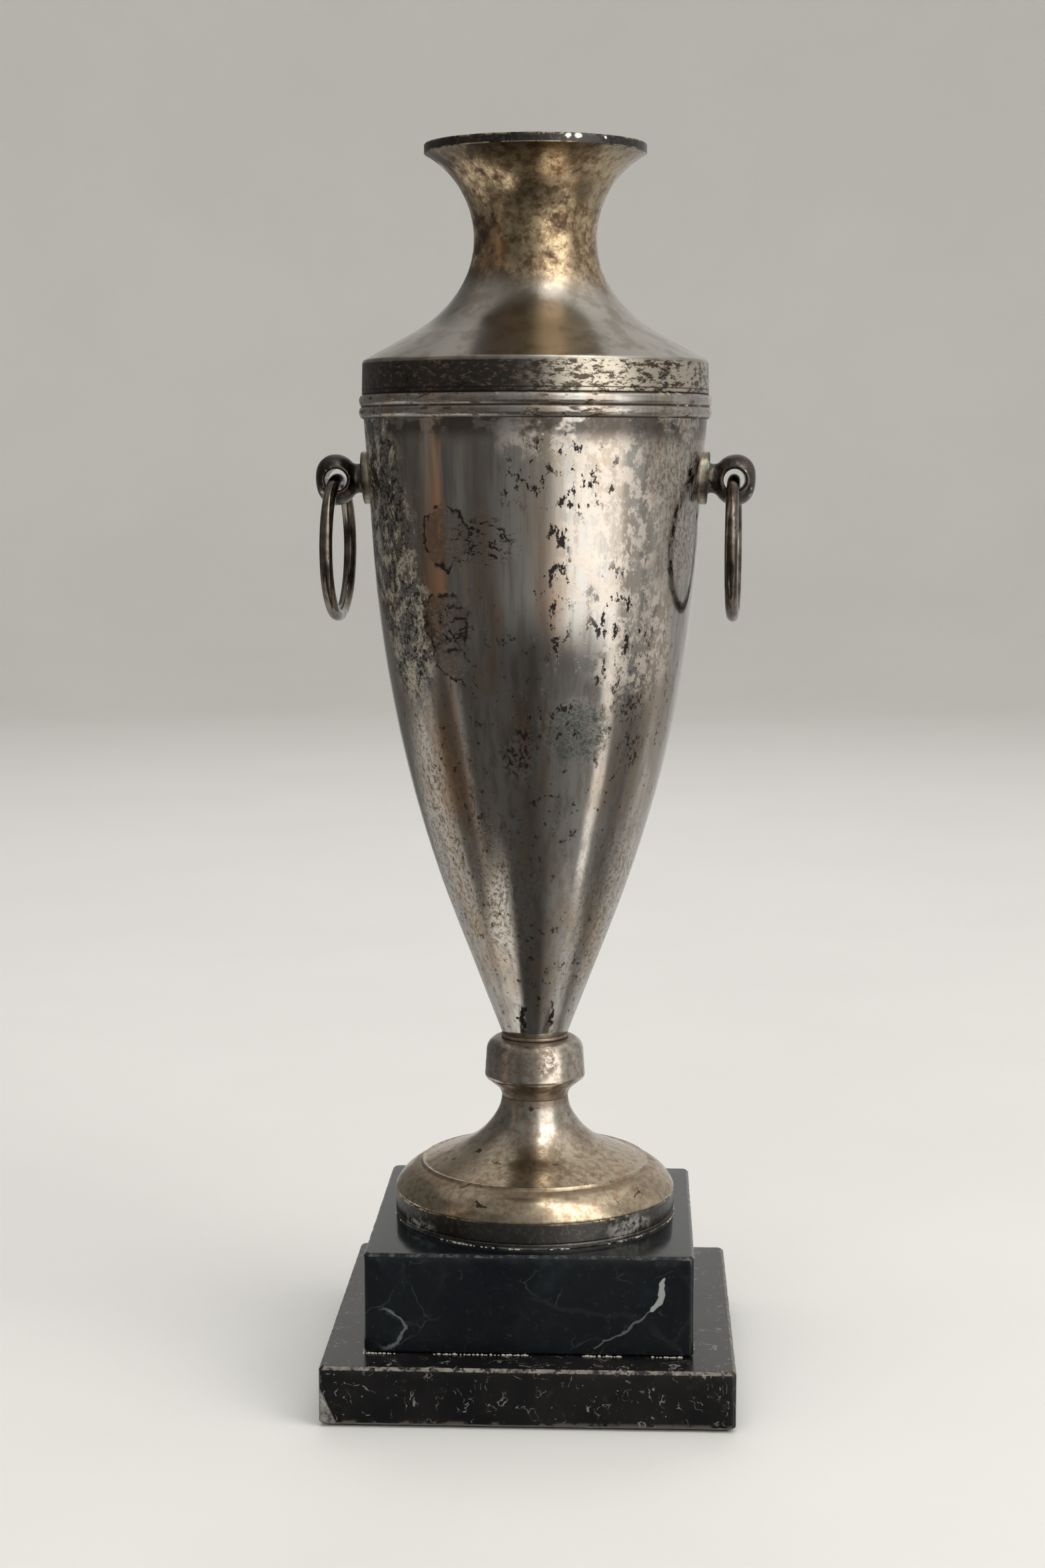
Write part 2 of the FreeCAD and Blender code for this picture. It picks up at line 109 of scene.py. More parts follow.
def ease(points, radius, sharpest=20.0):
    """The closed outline with each sharp corner rounded off."""
    points = np.array(points)
    steps = np.roll(points, -1, 0) - points
    along = np.concatenate([[0], np.cumsum(np.hypot(*steps.T))])
    closed = np.vstack([points, points[:1]])
    heading = np.arctan2(steps[:, 1], steps[:, 0])
    turn = (heading - np.roll(heading, 1) + math.pi) % (2 * math.pi) - math.pi
    corners = along[:-1][np.abs(turn) > math.radians(sharpest)]
    total = along[-1]

    def at(s):
        return np.array([np.interp(s % total, along, closed[:, k]) for k in (0, 1)])

    kept = []
    cuts = []
    for i, s in enumerate(corners):
        before = (s - corners[i - 1]) % total or total
        after = (corners[(i + 1) % len(corners)] - s) % total or total
        cuts.append((s, min(radius, 0.45 * before, 0.45 * after)))
    for s, point in zip(along[:-1], points):
        gaps = [abs((s - c + total / 2) % total - total / 2) - r for c, r in cuts]
        if min(gaps, default=1) > 1e-6:
            kept.append((s, point))
    for s, r in cuts:
        a, b, c = at(s - r), at(s), at(s + r)
        for u in np.linspace(0, 1, 6):
            curve = (1 - u) ** 2 * a + 2 * u * (1 - u) * b + u * u * c
            kept.append(((s - r + 2 * r * u) % total, curve))
    kept.sort(key=lambda item: item[0])
    return np.array([point for _, point in kept])


def polar(centre, radius, turn):
    """The point of an arc where its normal is turned up from the horizontal, in degrees."""
    angle = math.radians(turn)
    return centre[0] + radius * math.cos(angle), centre[1] + radius * math.sin(angle)


# ------------------------------------------------------------------------------ meshes


def new_object(name, made, material=None, smooth=False):
    """An object of the mesh that a bmesh holds, which is freed."""
    mesh = bpy.data.meshes.new(name)
    made.to_mesh(mesh)
    made.free()
    mesh.polygons.foreach_set("use_smooth", [smooth] * len(mesh.polygons))
    if material:
        mesh.materials.append(material)
    thing = bpy.data.objects.new(name, mesh)
    bpy.context.scene.collection.objects.link(thing)
    return thing


def finish_mesh(name, vertices, faces, material, body, replaced):
    """Makes a piece of some vertices in metres, which stands for a node on a body."""
    mesh = bpy.data.meshes.new(name)
    mesh.from_pydata(vertices, [], faces)
    made = bmesh.new()
    made.from_mesh(mesh)
    bmesh.ops.recalc_face_normals(made, faces=made.faces)
    bpy.data.meshes.remove(mesh)
    piece = new_object(name, made, material, True)
    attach(piece, body)
    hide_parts(replaced)
    return piece


def ring_faces(rounds, length):
    """Quads between successive closed loops of points that themselves close in a ring."""
    faces = []
    for j in range(rounds):
        a, b = j * length, (j + 1) % rounds * length
        for i in range(length):
            k = (i + 1) % length
            faces.append((a + i, b + i, b + k, a + k))
    return faces


def uneven(point, size, seed):
    """Smooth noise from -1 to 1 whose waves are about a size long, in metres."""
    return noise.noise(Vector(point) / size + Vector((seed, 2.3 * seed, 7.1)))


def turned(node, outer, inner, material, ease_by=0.25, around=288, dent=0.03, step=0.7):
    """A shell of revolution that stands for a node of the same name."""
    outline = trace(outer + inner[:1], step) + trace(inner + outer[:1], 4 * step)
    outline = ease(outline, ease_by) + np.array([0, low(node)])
    vertices = []
    for j in range(around):
        turn = 2 * math.pi * j / around
        s, c = math.sin(turn), -math.cos(turn)
        for across, up in outline:
            spot = (across * s * MM, across * c * MM, up * MM)
            swell = dent * (uneven(spot, 0.030, 3) + 0.5 * uneven(spot, 0.011, 5))
            vertices.append(((across + swell) * s * MM, (across + swell) * c * MM, up * MM))
    faces = ring_faces(around, len(outline))
    return finish_mesh(node + "_spun", vertices, faces, material, BODY, node)


# ------------------------------------------------------------------------ turned pieces


def foot_skirt(material):
    out, height, wall = reach("foot_skirt"), high("foot_skirt") - low("foot_skirt"), 1.3
    groove_up, groove = 1.3, 0.3
    outer = [
        (out - wall, 0),
        (out, 0),
        (out, groove_up),
        (out - groove, groove_up + groove),
        (out, groove_up + 2 * groove),
        (out, height),
    ]
    turned("foot_skirt", outer, [(out - wall, height)], material)


def foot(material):
    out = reach("foot")
    wall = 0.8
    height = high("foot") - low("foot")
    neck_radius, neck_arc, neck_turn = 10.6, 13.2, 29.0
    flare_arc, flare_turn = 25.6, 67.5
    dome_arc, valley, skirt_wall = 13.0, 35.5, 1.3
    dome_top, step_top = (36.8, 8.05), (36.4, 9.15)
    neck = (neck_radius + neck_arc, height + wall)
    flare = polar(neck, flare_arc - neck_arc, neck_turn)
    knee = polar(neck, -neck_arc, neck_turn)
    brink = polar(flare, -flare_arc, flare_turn)
    inner_knee = polar(neck, -neck_arc - wall, neck_turn)
    inner_brink = polar(flare, -flare_arc - wall, flare_turn)
    fall = brink[1] - (valley - brink[0]) / math.tan(math.radians(flare_turn))
    outer = [
        (out - skirt_wall, 0),
        (out, 0),
        (out, wall, dome_arc),
        dome_top,
        step_top,
        (valley, fall),
        (*brink, -flare_arc),
        (*knee, -neck_arc),
        (neck_radius, height),
    ]
    inner = [
        (neck_radius - wall, height, neck_arc + wall),
        (*inner_knee, flare_arc + wall),
        inner_brink,
        (valley, dome_top[1] - wall, -(dome_arc - wall)),
    ]
    turned("foot", outer, inner, material, 0.2)


def knop(material):
    wall, height = 1.2, high("knop") - low("knop")
    waist, bore = 10.6, 4.0
    hollow, hollow_arc, lip_arc = (12.5, 3.4), 5.0, 1.7
    belly, brow, brow_arc, crown = (16.1, 7.5), (15.6, 14.8), 4.4, 11.3
    outer = [
        (waist - wall, 0),
        (waist, 0, -hollow_arc),
        hollow,
        (15.5, 5.8, lip_arc),
        belly,
        (*brow, brow_arc),
        (crown, height),
        (bore, height),
    ]
    inner = [
        (bore, height - wall),
        (crown, height - wall, -(brow_arc - wall)),
        (brow[0] - wall, brow[1]),
        (belly[0] - wall, belly[1]),
        (hollow[0] - wall, hollow[1] + wall),
    ]
    turned("knop", outer, inner, material, 0.3, around=192)


def cup_seat_bead(material):
    inside, out, height = 8.6, 10.4, high("cup_seat_bead") - low("cup_seat_bead")
    outer = [(inside, 0), (out, 0, 0.6825), (out, height)]
    turned("cup_seat_bead", outer, [(inside, height)], material, 0.1, 160, 0.01)


def cup_outline():
    """The cup's outer and inner outlines, up from its own base."""
    height = high("cup_body") - low("cup_body")
    radius, collar = reach("cup_body"), height - 7.6
    taper, taper_length = 3.72, 39.7
    arc, point_angle = 401.5, 21.14
    bore, floor = 4.0, 1.2
    slope = math.tan(math.radians(point_angle))
    bend = (radius - taper_length * math.tan(math.radians(taper)), collar - taper_length)
    centre = polar(bend, -arc, -taper)
    point = polar(centre, arc, -point_angle)
    inner_bend = polar(centre, arc - WALL, -taper)
    inner_point = polar(centre, arc - WALL, -point_angle)
    outer = [
        (bore, 0),
        (point[0] - point[1] * slope, 0),
        (*point, arc),
        bend,
        (radius, collar),
        (radius, height),
    ]
    inner = [
        (radius - WALL, height),
        (radius - WALL, collar),
        (*inner_bend, -(arc - WALL)),
        inner_point,
        (inner_point[0] - (inner_point[1] - floor) * slope, floor),
        (bore, floor),
    ]
    return outer, inner


def cup_body(material):
    outer, inner = cup_outline()
    turned("cup_body", outer, inner, material, 0.2, dent=0.045, step=1.1)


def bead_band(material):
    height = high("bead_band") - low("bead_band")
    inside, foot_radius, bead, valley = reach("cup_body") + 0.02, 53.9, 2.3, 54.33
    outer = [
        (inside, 0),
        (foot_radius, 0, bead),
        (valley, height / 2, bead),
        (foot_radius, height),
    ]
    turned("bead_band", outer, [(inside, height)], material, 0.08, 320, 0.02)


def shoulder_neck(material):
    band, band_top, band_height = reach("shoulder_neck"), 54.0, 9.5
    corner, corner_inset = 1.3, 0.78
    slope, shoulder_arc = 61.1, 42.1
    turn, arc, neck, neck_up = 36.8, 29.1, 19.15, 48.0
    mouth_up = high("shoulder_neck") - low("shoulder_neck")
    waist = (neck + arc, neck_up)
    sweep = polar(waist, shoulder_arc - arc, turn)
    knee = polar(waist, -arc, turn)
    inner_knee = polar(waist, -arc - WALL, turn)
    brow = polar(sweep, -shoulder_arc, slope)
    inner_brow = polar(sweep, -shoulder_arc - WALL, slope)
    fall = math.tan(math.radians(slope))
    edge = band_top - corner_inset
    inside = band - WALL
    rise = mouth_up - neck_up
    outer = [
        (inside, 0),
        (band, 0),
        (band_top, band_height, corner),
        (edge, brow[1] - (edge - brow[0]) / fall),
        (*brow, -shoulder_arc),
        (*knee, -arc),
        (waist[0] - math.sqrt(arc**2 - rise**2), mouth_up),
    ]
    inner = [
        (waist[0] - math.sqrt((arc + WALL) ** 2 - rise**2), mouth_up, arc + WALL),
        (*inner_knee, shoulder_arc + WALL),
        inner_brow,
        (inside, inner_brow[1] - (inside - inner_brow[0]) / fall),
    ]
    turned("shoulder_neck", outer, inner, material, 0.25, around=320)


def mouth_rim(material):
    out, height = reach("mouth_rim"), high("mouth_rim") - low("mouth_rim")
    lip, edge, inside = 33.2, 0.45, 32.42
    outer = [
        (inside, 0),
        (out, 0),
        (out, height - edge, edge),
        (out - edge, height),
        (lip + edge, height, edge),
    ]
    turned("mouth_rim", outer, [(lip, height - edge)], material, 0.15, 256, 0.02)


# ---------------------------------------------------------------------------- materials


def paint_node(node, material):
    """Gives a node of the frame its material."""
    slots = frame["nodes"][node].data.materials
    slots.clear()
    slots.append(material)


def rgb(red, green, blue):
    """A colour given as it looks on a screen, from 0 to 255, in linear light."""
    def linear(part):
        part /= 255
        return part / 12.92 if part <= 0.04045 else ((part + 0.055) / 1.055) ** 2.4
    return (linear(red), linear(green), linear(blue), 1.0)


class Paint:
    """One material's node graph. Its patterns are placed in the frame's own coordinates."""

    def __init__(self, name):
        self.material = bpy.data.materials.new(name)
        self.material.use_nodes = True
        self.tree = self.material.node_tree
        self.shader = self.tree.nodes["Principled BSDF"]
        self.place = self.add("ShaderNodeTexCoord").outputs["Object"]
        split = self.add("ShaderNodeSeparateXYZ", [self.place])
        self.x, self.y, self.z = split.outputs

    def add(self, kind, inputs=(), **settings):
        """A node with its first inputs set, each to a number, a colour or an output."""
        node = self.tree.nodes.new(kind)
        for key, setting in settings.items():
            setattr(node, key, setting)
        for socket, given in zip(node.inputs, inputs):
            self.feed(socket, given)
        return node

    def feed(self, socket, given):
        if isinstance(given, bpy.types.NodeSocket):
            self.tree.links.new(given, socket)
        elif given is not None:
            socket.default_value = given

    def math(self, operation, a, b=0.0, c=0.0):
        return self.add("ShaderNodeMath", [a, b, c], operation=operation).outputs[0]

    def plus(self, a, b):
        return self.math("ADD", a, b)

    def minus(self, a, b):
        return self.math("SUBTRACT", a, b)

    def times(self, a, b):
        return self.math("MULTIPLY", a, b)

    def vector(self, operation, a, b=(0, 0, 0)):
        node = self.add("ShaderNodeVectorMath", [a, b], operation=operation)
        return node.outputs["Value" if operation in ("LENGTH", "DOT_PRODUCT") else "Vector"]

    def noise(self, scale, detail=3.0, rough=0.55, stretch=None, at=None):
        """Noise from 0 to 1, with waves 1 / scale metres long, squeezed by some factors."""
        at = at or self.place
        if stretch:
            at = self.vector("MULTIPLY", at, stretch)
        node = self.add("ShaderNodeTexNoise", [at])
        for key, given in (("Scale", scale), ("Detail", detail), ("Roughness", rough)):
            node.inputs[key].default_value = given
        return node.outputs[0]

    def cells(self, scale, at=None, feature="F1"):
        node = self.add("ShaderNodeTexVoronoi", [at or self.place], feature=feature)
        node.inputs["Scale"].default_value = scale
        return node.outputs["Distance"]

    def step(self, given, start, end):
        """0 where the input is at start, 1 where it is at end, and smooth between."""
        inputs = [given, start, end, 0.0, 1.0]
        return self.add("ShaderNodeMapRange", inputs, interpolation_type="SMOOTHSTEP").outputs[0]

    def spots(self, start, end, *settings, **more):
        """A step across some noise: 1 where the noise is past its end."""
        return self.step(self.noise(*settings, **more), start, end)

    def mix(self, share, a, b):
        """The colour a where share is 0, and b where it is 1. A colour is an output, or three
        numbers as seen on a screen."""
        node = self.add("ShaderNodeMix", data_type="RGBA")
        for index, given in ((0, share), (6, a), (7, b)):
            self.feed(node.inputs[index], rgb(*given) if isinstance(given, tuple) else given)
        return node.outputs[2]

    def lay(self, colour, tint, *shares):
        """A colour covered with a tint as far as the product of some shares."""
        return self.mix(self.all_of(*shares), colour, tint)

    def level(self, share, a, b):
        """The number a where share is 0, and b where it is 1."""
        node = self.add("ShaderNodeMix", data_type="FLOAT")
        for index, given in ((0, share), (2, a), (3, b)):
            self.feed(node.inputs[index], given)
        return node.outputs[0]

    def ramp(self, share, stops, tints=()):
        """Light by bearing, as a share of the tent's strength, through stops of (bearing,
        brightness). It is near white but for some bearings that have tints of their own."""
        node = self.add("ShaderNodeValToRGB", [share])
        ramp = node.color_ramp
        ramp.interpolation = "EASE"
        shades = {bearing: [bright * part for part in NEAR_WHITE] for bearing, bright in stops}
        shades.update(tints)
        for number, (bearing, shade) in enumerate(sorted(shades.items())):
            stop = ramp.elements[number] if number < 2 else ramp.elements.new(1.0)
            stop.position = bearing / 360 + 0.5
            stop.color = [part / TENT_STRENGTH for part in shade] + [1.0]
        return node.outputs[0]

    def all_of(self, *shares):
        """The product of some shares."""
        made = shares[0]
        for share in shares[1:]:
            made = self.times(made, share)
        return made

    def any_of(self, *shares):
        """The largest of some shares."""
        made = shares[0]
        for share in shares[1:]:
            made = self.math("MAXIMUM", made, share)
        return made

    def warped(self, scale, reach, detail=3.0):
        """The place, pushed about by noise as far as a reach in metres."""
        node = self.add("ShaderNodeTexNoise", [self.place])
        node.inputs["Scale"].default_value = scale
        node.inputs["Detail"].default_value = detail
        push = self.vector("SUBTRACT", node.outputs["Color"], (0.5, 0.5, 0.5))
        return self.vector("ADD", self.place, self.vector("MULTIPLY", push, (2 * reach,) * 3))

    def distance(self, centre, size, at=None):
        """How far from a centre, where 1 is the edge of an egg of a size, in millimetres."""
        gone = self.vector("SUBTRACT", at or self.place, tuple(c * MM for c in centre))
        return self.vector("LENGTH", self.vector("MULTIPLY", gone, tuple(1 / (s * MM) for s in size)))

    def patch(self, centre, size, at=None, soft=0.3):
        """1 inside an egg-shaped patch and 0 outside it."""
        return self.step(self.distance(centre, size, at), 1 + soft, 1 - soft)

    def strand(self, start, end, width, at, swell):
        """1 within a width of a line seen from the front, in millimetres, which swells
        towards its middle."""
        line = (end - start) * MM
        gone = self.vector("SUBTRACT", self.vector("MULTIPLY", at, (1, 0, 1)), tuple(start * MM))
        along = self.vector("DOT_PRODUCT", gone, tuple(line / line.length))
        share = self.math("DIVIDE", along, line.length)
        nearest = self.math("MINIMUM", self.math("MAXIMUM", share, 0.0), 1.0)
        foot = self.add("ShaderNodeVectorMath", [tuple(line)], operation="SCALE")
        self.feed(foot.inputs["Scale"], nearest)
        off = self.vector("LENGTH", self.vector("SUBTRACT", gone, foot.outputs["Vector"]))
        belly = self.all_of(nearest, self.minus(1.0, nearest), 4.0)
        brim = self.times(self.level(belly, 1.0 - swell, 1.0), width * MM)
        return self.step(self.math("DIVIDE", off, brim), 1.2, 0.8)

    def climb(self, start, end):
        """0 at the first level and 1 at the second, in millimetres."""
        return self.step(self.z, start * MM, end * MM)

    def band(self, start, end, soft):
        """1 between two levels in millimetres, and 0 beyond them."""
        return self.all_of(self.climb(start - soft, start + soft), self.climb(end + soft, end - soft))

    def top_edge(self, node, start, end):
        """1 at the edge round a square stone's top, and 0 from some way in or down."""
        out = self.math("MAXIMUM", self.math("ABSOLUTE", self.x), self.math("ABSOLUTE", self.y))
        inset = self.math("MAXIMUM", self.minus(reach(node) * MM, out), 0.0)
        drop = self.math("MAXIMUM", self.minus(high(node) * MM, self.z), 0.0)
        return self.step(self.plus(inset, drop), start, end)

    def bump(self, height, depth, strength=1.0):
        """Raises the surface by a height pattern, whose full range is a depth in metres."""
        node = self.add("ShaderNodeBump")
        self.feed(node.inputs["Strength"], strength)
        node.inputs["Distance"].default_value = depth
        self.tree.links.new(height, node.inputs["Height"])
        self.tree.links.new(node.outputs[0], self.shader.inputs["Normal"])

    def finish(self, colour, roughness, metallic=0.0, specular=0.5):
        """Sets the shader's main inputs, and gives the material."""
        for key, given in (
            ("Base Color", colour),
            ("Roughness", roughness),
            ("Metallic", metallic),
            ("Specular IOR Level", specular),
        ):
            self.feed(self.shader.inputs[key], given)
        return self.material


def on_cup(bearing, level):
    """The point of the cup's wall at a bearing and a level, in millimetres."""
    outer, _ = cup_outline()
    points = np.array(trace(outer, 2.0))
    radius = np.interp(level - low("cup_body"), points[1:, 1], points[1:, 0])
    angle = math.radians(bearing)
    return radius * math.sin(angle), -radius * math.cos(angle), level


def silver_paint(name):
    """Worn silver plate: upright polishing streaks, warm and cool clouds, fine scratches."""
    p = Paint(name)
    p.streak = p.noise(420, 3, 0.6, UPRIGHT)
    p.broad = p.noise(95, 3, 0.6, (1, 1, 0.12))
    p.cloud = p.noise(26, 4, 0.6)
    p.grit = p.noise(860, 5, 0.7, (1, 1, 0.7))
    warm = p.step(p.plus(p.broad, p.times(p.cloud, 0.6)), 0.72, 0.98)
    colour = p.mix(warm, (188, 184, 178), (178, 164, 148))
    p.colour = p.lay(colour, (162, 155, 146), p.step(p.streak, 0.42, 0.7))
    return p


def cup_paint():
    """The cup: plate that is mottled brown up the right, with pale patches there painted lighter as a
    highlight, black-flecked on the left, with upright copper streaks on the left and front painted as a
    reflection, and marked with dark-edged stains, a grey-green patch and a line of small dark marks."""
    p = silver_paint("tarnished_silver")
    bent = p.warped(75, 0.009, 4)
    rough_bent = p.warped(260, 0.004, 5)
    speckle = p.step(p.grit, 0.50, 0.58)
    dense = p.spots(0.42, 0.56, 760, 6, 0.75)

    def stains(at, *rows):
        """Patches of the wall, each by its bearing, level, size and softness."""
        return p.any_of(*[p.patch(on_cup(*row[:2]), row[2], at, row[3]) for row in rows])

    left = stains(
        bent,
        (-60, 268, (17, 17, 30), 0.25),
        (-52, 243, (15, 14, 26), 0.25),
        (-72, 295, (24, 22, 15), 0.2),
    )
    flank = stains(
        bent,
        (-48, 172, (26, 22, 48), 0.5),
        (62, 150, (14, 16, 42), 0.5),
    )
    right = stains(
        bent,
        (30, 276, (17, 16, 32), 0.3),
        (42, 240, (14, 14, 22), 0.4),
        (20, 300, (24, 22, 9), 0.3),
    )
    far_right = p.patch(on_cup(66, 288), (17, 20, 34), bent, 0.4)
    under_beads = p.all_of(p.band(299, 320, 3.5), p.spots(0.40, 0.50, 60, 4, 0.65, (1, 1, 1.5)))
    rimmed = ((-30, 270, (8, 8, 9)), (-31, 244, (8, 8, 9)), (-30, 233, (6, 6, 6)))
    fields = [p.distance(on_cup(*row[:2]), row[2], rough_bent) for row in rimmed]
    inside = p.any_of(*[p.step(d, 1.05, 0.9) for d in fields])
    outline = p.any_of(*[p.all_of(p.step(d, 0.86, 0.98), p.step(d, 1.12, 1.0)) for d in fields])
    outline = p.all_of(outline, p.spots(0.40, 0.52, 170, 3))
    scribble = p.all_of(
        stains(
            rough_bent,
            (-16, 269, (11, 10, 8), 0.3),
            (-28, 243, (7, 7, 8), 0.4),
            (-58, 282, (10, 10, 14), 0.4),
        ),
        p.spots(0.52, 0.57, 330, 5, 0.75, (1, 1, 1.5), bent),
    )
    green = p.patch(on_cup(19, 211), (10, 10, 10), rough_bent, 0.3)
    dark_low = stains(
        rough_bent,
        (-5, 203, (5, 6, 7), 0.4),
        (42, 218, (5, 5, 5), 0.4),
        (46, 205, (5, 5, 6), 0.4),
    )
    marks = p.all_of(
        stains(
            bent,
            (9, 262, (6, 8, 42), 0.2),
            (8, 212, (14, 12, 12), 0.3),
            (12, 288, (20, 18, 14), 0.3),
            (34, 240, (12, 12, 26), 0.4),
        ),
        p.spots(0.565, 0.60, 330, 5, 0.7, (1, 1, 0.6)),
    )
    dashes = p.all_of(
        p.band(108, 250, 12),
        p.spots(0.585, 0.62, 430, 6, 0.75, (1, 1, 0.8)),
        p.step(p.cloud, 0.38, 0.54),
    )
    seams = stains(
        rough_bent,
        (-16, 117, (0.9, 2, 6), 0.3),
        (24, 118, (0.8, 2, 5), 0.3),
    )
    # Upright copper-coloured streaks on the left and at the front: a painted reflection.
    copper_reflection_streaks = p.all_of(
        p.any_of(
            p.patch(on_cup(-37, 275), (7, 6, 48), None, 0.2),
            p.patch(on_cup(-40, 195), (6, 6, 48), None, 0.5),
            p.patch(on_cup(-2, 230), (10, 10, 40), bent, 0.8),
        ),
        p.step(p.broad, 0.34, 0.6),
    )

    colour = p.lay(p.colour, (180, 148, 122), copper_reflection_streaks, p.step(p.cloud, 0.3, 0.5))
    # Pale rough bloom on the right, painted lighter than the plate as a highlight.
    pale_bloom_and_highlight = p.spots(0.45, 0.55, 260, 6, 0.75, (1, 1, 0.8))
    colour = p.lay(colour, (222, 210, 198), right, pale_bloom_and_highlight)
    colour = p.lay(colour, (126, 112, 98), far_right, p.step(p.grit, 0.44, 0.62))
    colour = p.lay(colour, (138, 118, 92), flank, speckle)
    colour = p.lay(colour, (52, 46, 40), left, dense)
    flakes = p.spots(0.50, 0.545, 230, 6, 0.72, (1, 1, 0.8))
    colour = p.lay(colour, (206, 196, 178), left, flakes)
    colour = p.lay(colour, (58, 53, 50), under_beads, 0.85)
    colour = p.lay(colour, (84, 72, 62), inside, p.level(dense, 0.25, 0.8))
    colour = p.lay(colour, (74, 80, 74), green, p.level(dense, 0.35, 0.95))
    colour = p.lay(colour, (50, 47, 46), dark_low, p.level(speckle, 0.30, 0.90))
    colour = p.lay(colour, (52, 45, 40), dashes, 0.85)
    colour = p.lay(colour, (44, 38, 35), p.any_of(outline, scribble, marks, seams))

    dirt = p.any_of(
        p.all_of(p.any_of(left, inside, green), dense),
        p.times(dark_low, 0.3),
        outline,
        scribble,
        marks,
        seams,
        p.times(under_beads, 0.6),
        p.all_of(flank, speckle, 0.4),
        p.all_of(p.any_of(right, far_right), pale_bloom_and_highlight, p.plus(p.cloud, 0.1)),
    )
    rough = p.level(p.step(p.cloud, 0.35, 0.7), 0.07, 0.15)
    rough = p.plus(rough, p.times(p.step(p.streak, 0.5, 0.8), 0.06))
    rough = p.level(dirt, rough, 0.42)
    relief = p.plus(p.times(p.streak, 0.2), p.times(dirt, 0.35))
    p.bump(relief, 0.00010, 0.35)
    return p.finish(colour, rough, p.level(dirt, 1.0, 0.72))


def bead_paint():
    """The beads: bright along their crowns, with brown grime in the grooves."""
    p = silver_paint("bead_silver")
    middle = (low("bead_band") + high("bead_band")) / 2
    groove = p.any_of(
        p.band(middle - 0.45, middle + 0.45, 0.4),
        p.band(low("bead_band") - 1, low("bead_band") + 0.6, 0.5),
        p.band(high("bead_band") - 0.5, high("bead_band") + 1, 0.4),
    )
    grime = p.any_of(
        p.all_of(groove, p.spots(0.2, 0.45, 120, 3)),
        p.all_of(p.spots(0.50, 0.6, 170, 5, 0.7, (1, 1, 3)), p.step(p.cloud, 0.4, 0.55)),
    )
    flakes = p.spots(0.64, 0.68, 150, 4, 0.6, (1, 1, 4), p.warped(300, 0.002))
    colour = p.lay(p.colour, (70, 57, 46), grime)
    colour = p.lay(colour, (206, 192, 166), flakes)
    p.bump(grime, 0.0001, 0.4)
    return p.finish(colour, p.level(grime, 0.2, 0.5), p.level(grime, 1.0, 0.6))


def neck_paint():
    """Shoulder and neck: a dark speckled band with a painted highlight at its front right, a pewter
    shoulder, and a brown-gold neck with painted shade on its left and at its top.
    """
    p = silver_paint("neck_silver")
    base = low("shoulder_neck")
    bent = p.warped(60, 0.008, 4)
    up = p.plus(p.z, p.times(p.minus(p.cloud, 0.5), 0.012))
    throat = p.step(up, (base + 27) * MM, (base + 40) * MM)
    band = p.climb(base + 9.9, base + 9.1)
    blotch = p.noise(70, 5, 0.65, at=bent)
    mottle = p.noise(300, 5, 0.75)
    gold = p.mix(p.step(mottle, 0.36, 0.62), (134, 110, 82), (216, 192, 156))
    # Brown tarnish blotches, weighted to the left side, where the extra darkening is painted shade.
    tarnish_and_left_shade = p.plus(blotch, p.times(p.x, -3.0))
    gold = p.lay(gold, (84, 65, 48), p.step(tarnish_and_left_shade, 0.50, 0.64))
    gold = p.lay(gold, (188, 152, 118), p.spots(0.62, 0.8, 45, 3))
    # Painted shade: the top of the neck, where it flares out under the mouth, is darkened.
    painted_shade_below_mouth = p.step(up, (base + 66) * MM, (base + 74) * MM)
    gold = p.lay(gold, (70, 58, 48), painted_shade_below_mouth, 0.7)
    verdigris = p.patch((26, -12, base + 64), (12, 14, 12), bent, 0.5)
    gold = p.lay(gold, (124, 136, 118), verdigris, p.step(mottle, 0.4, 0.6), 0.5)
    pewter = p.mix(p.spots(0.45, 0.65, 130, 4, 0.6), (190, 184, 174), (166, 156, 142))
    nick = p.patch((32, -28, base + 20), (3.0, 0.8, 1.2), p.warped(400, 0.0006), 0.25)
    pewter = p.lay(pewter, (62, 54, 48), nick)
    colour = p.mix(throat, pewter, gold)

    # Painted highlight: the band is painted light silver (bright) at its front right, and keeps its
    # dark speckled tarnish (dull) elsewhere.
    painted_highlight_front_right = p.step(p.minus(p.x, p.y), 0.048, 0.070)
    tarnish = p.spots(0.30, 0.46, 60, 4, 0.6, (1, 1, 2))
    flecks = p.spots(0.47, 0.55, 260, 5, 0.75, (1, 1, 2.4))
    bright = p.mix(flecks, (206, 196, 178), (84, 74, 66))
    dull = p.mix(p.spots(0.52, 0.62, 420, 5, 0.8, (1, 1, 2)), (62, 58, 54), (120, 108, 96))
    band_with_painted_highlight = p.mix(p.times(painted_highlight_front_right, 0.9), dull, bright)
    colour = p.mix(band, colour, band_with_painted_highlight)
    line = p.any_of(p.band(base - 1, base + 0.35, 0.25), p.band(base + 1.2, base + 1.6, 0.15))
    colour = p.lay(colour, (38, 32, 28), line, 0.85)

    dirt = p.any_of(
        p.all_of(throat, p.step(tarnish_and_left_shade, 0.46, 0.66)),
        p.all_of(band, tarnish, p.level(painted_highlight_front_right, 0.8, 0.25)),
        line,
        nick,
    )
    rough = p.level(throat, 0.24, p.level(p.step(mottle, 0.3, 0.6), 0.27, 0.19))
    rough = p.level(dirt, rough, 0.42)
    p.bump(p.plus(p.times(mottle, p.level(throat, 0.1, 0.6)), dirt), 0.00008, 0.4)
    return p.finish(colour, rough, p.level(dirt, 1.0, 0.75))


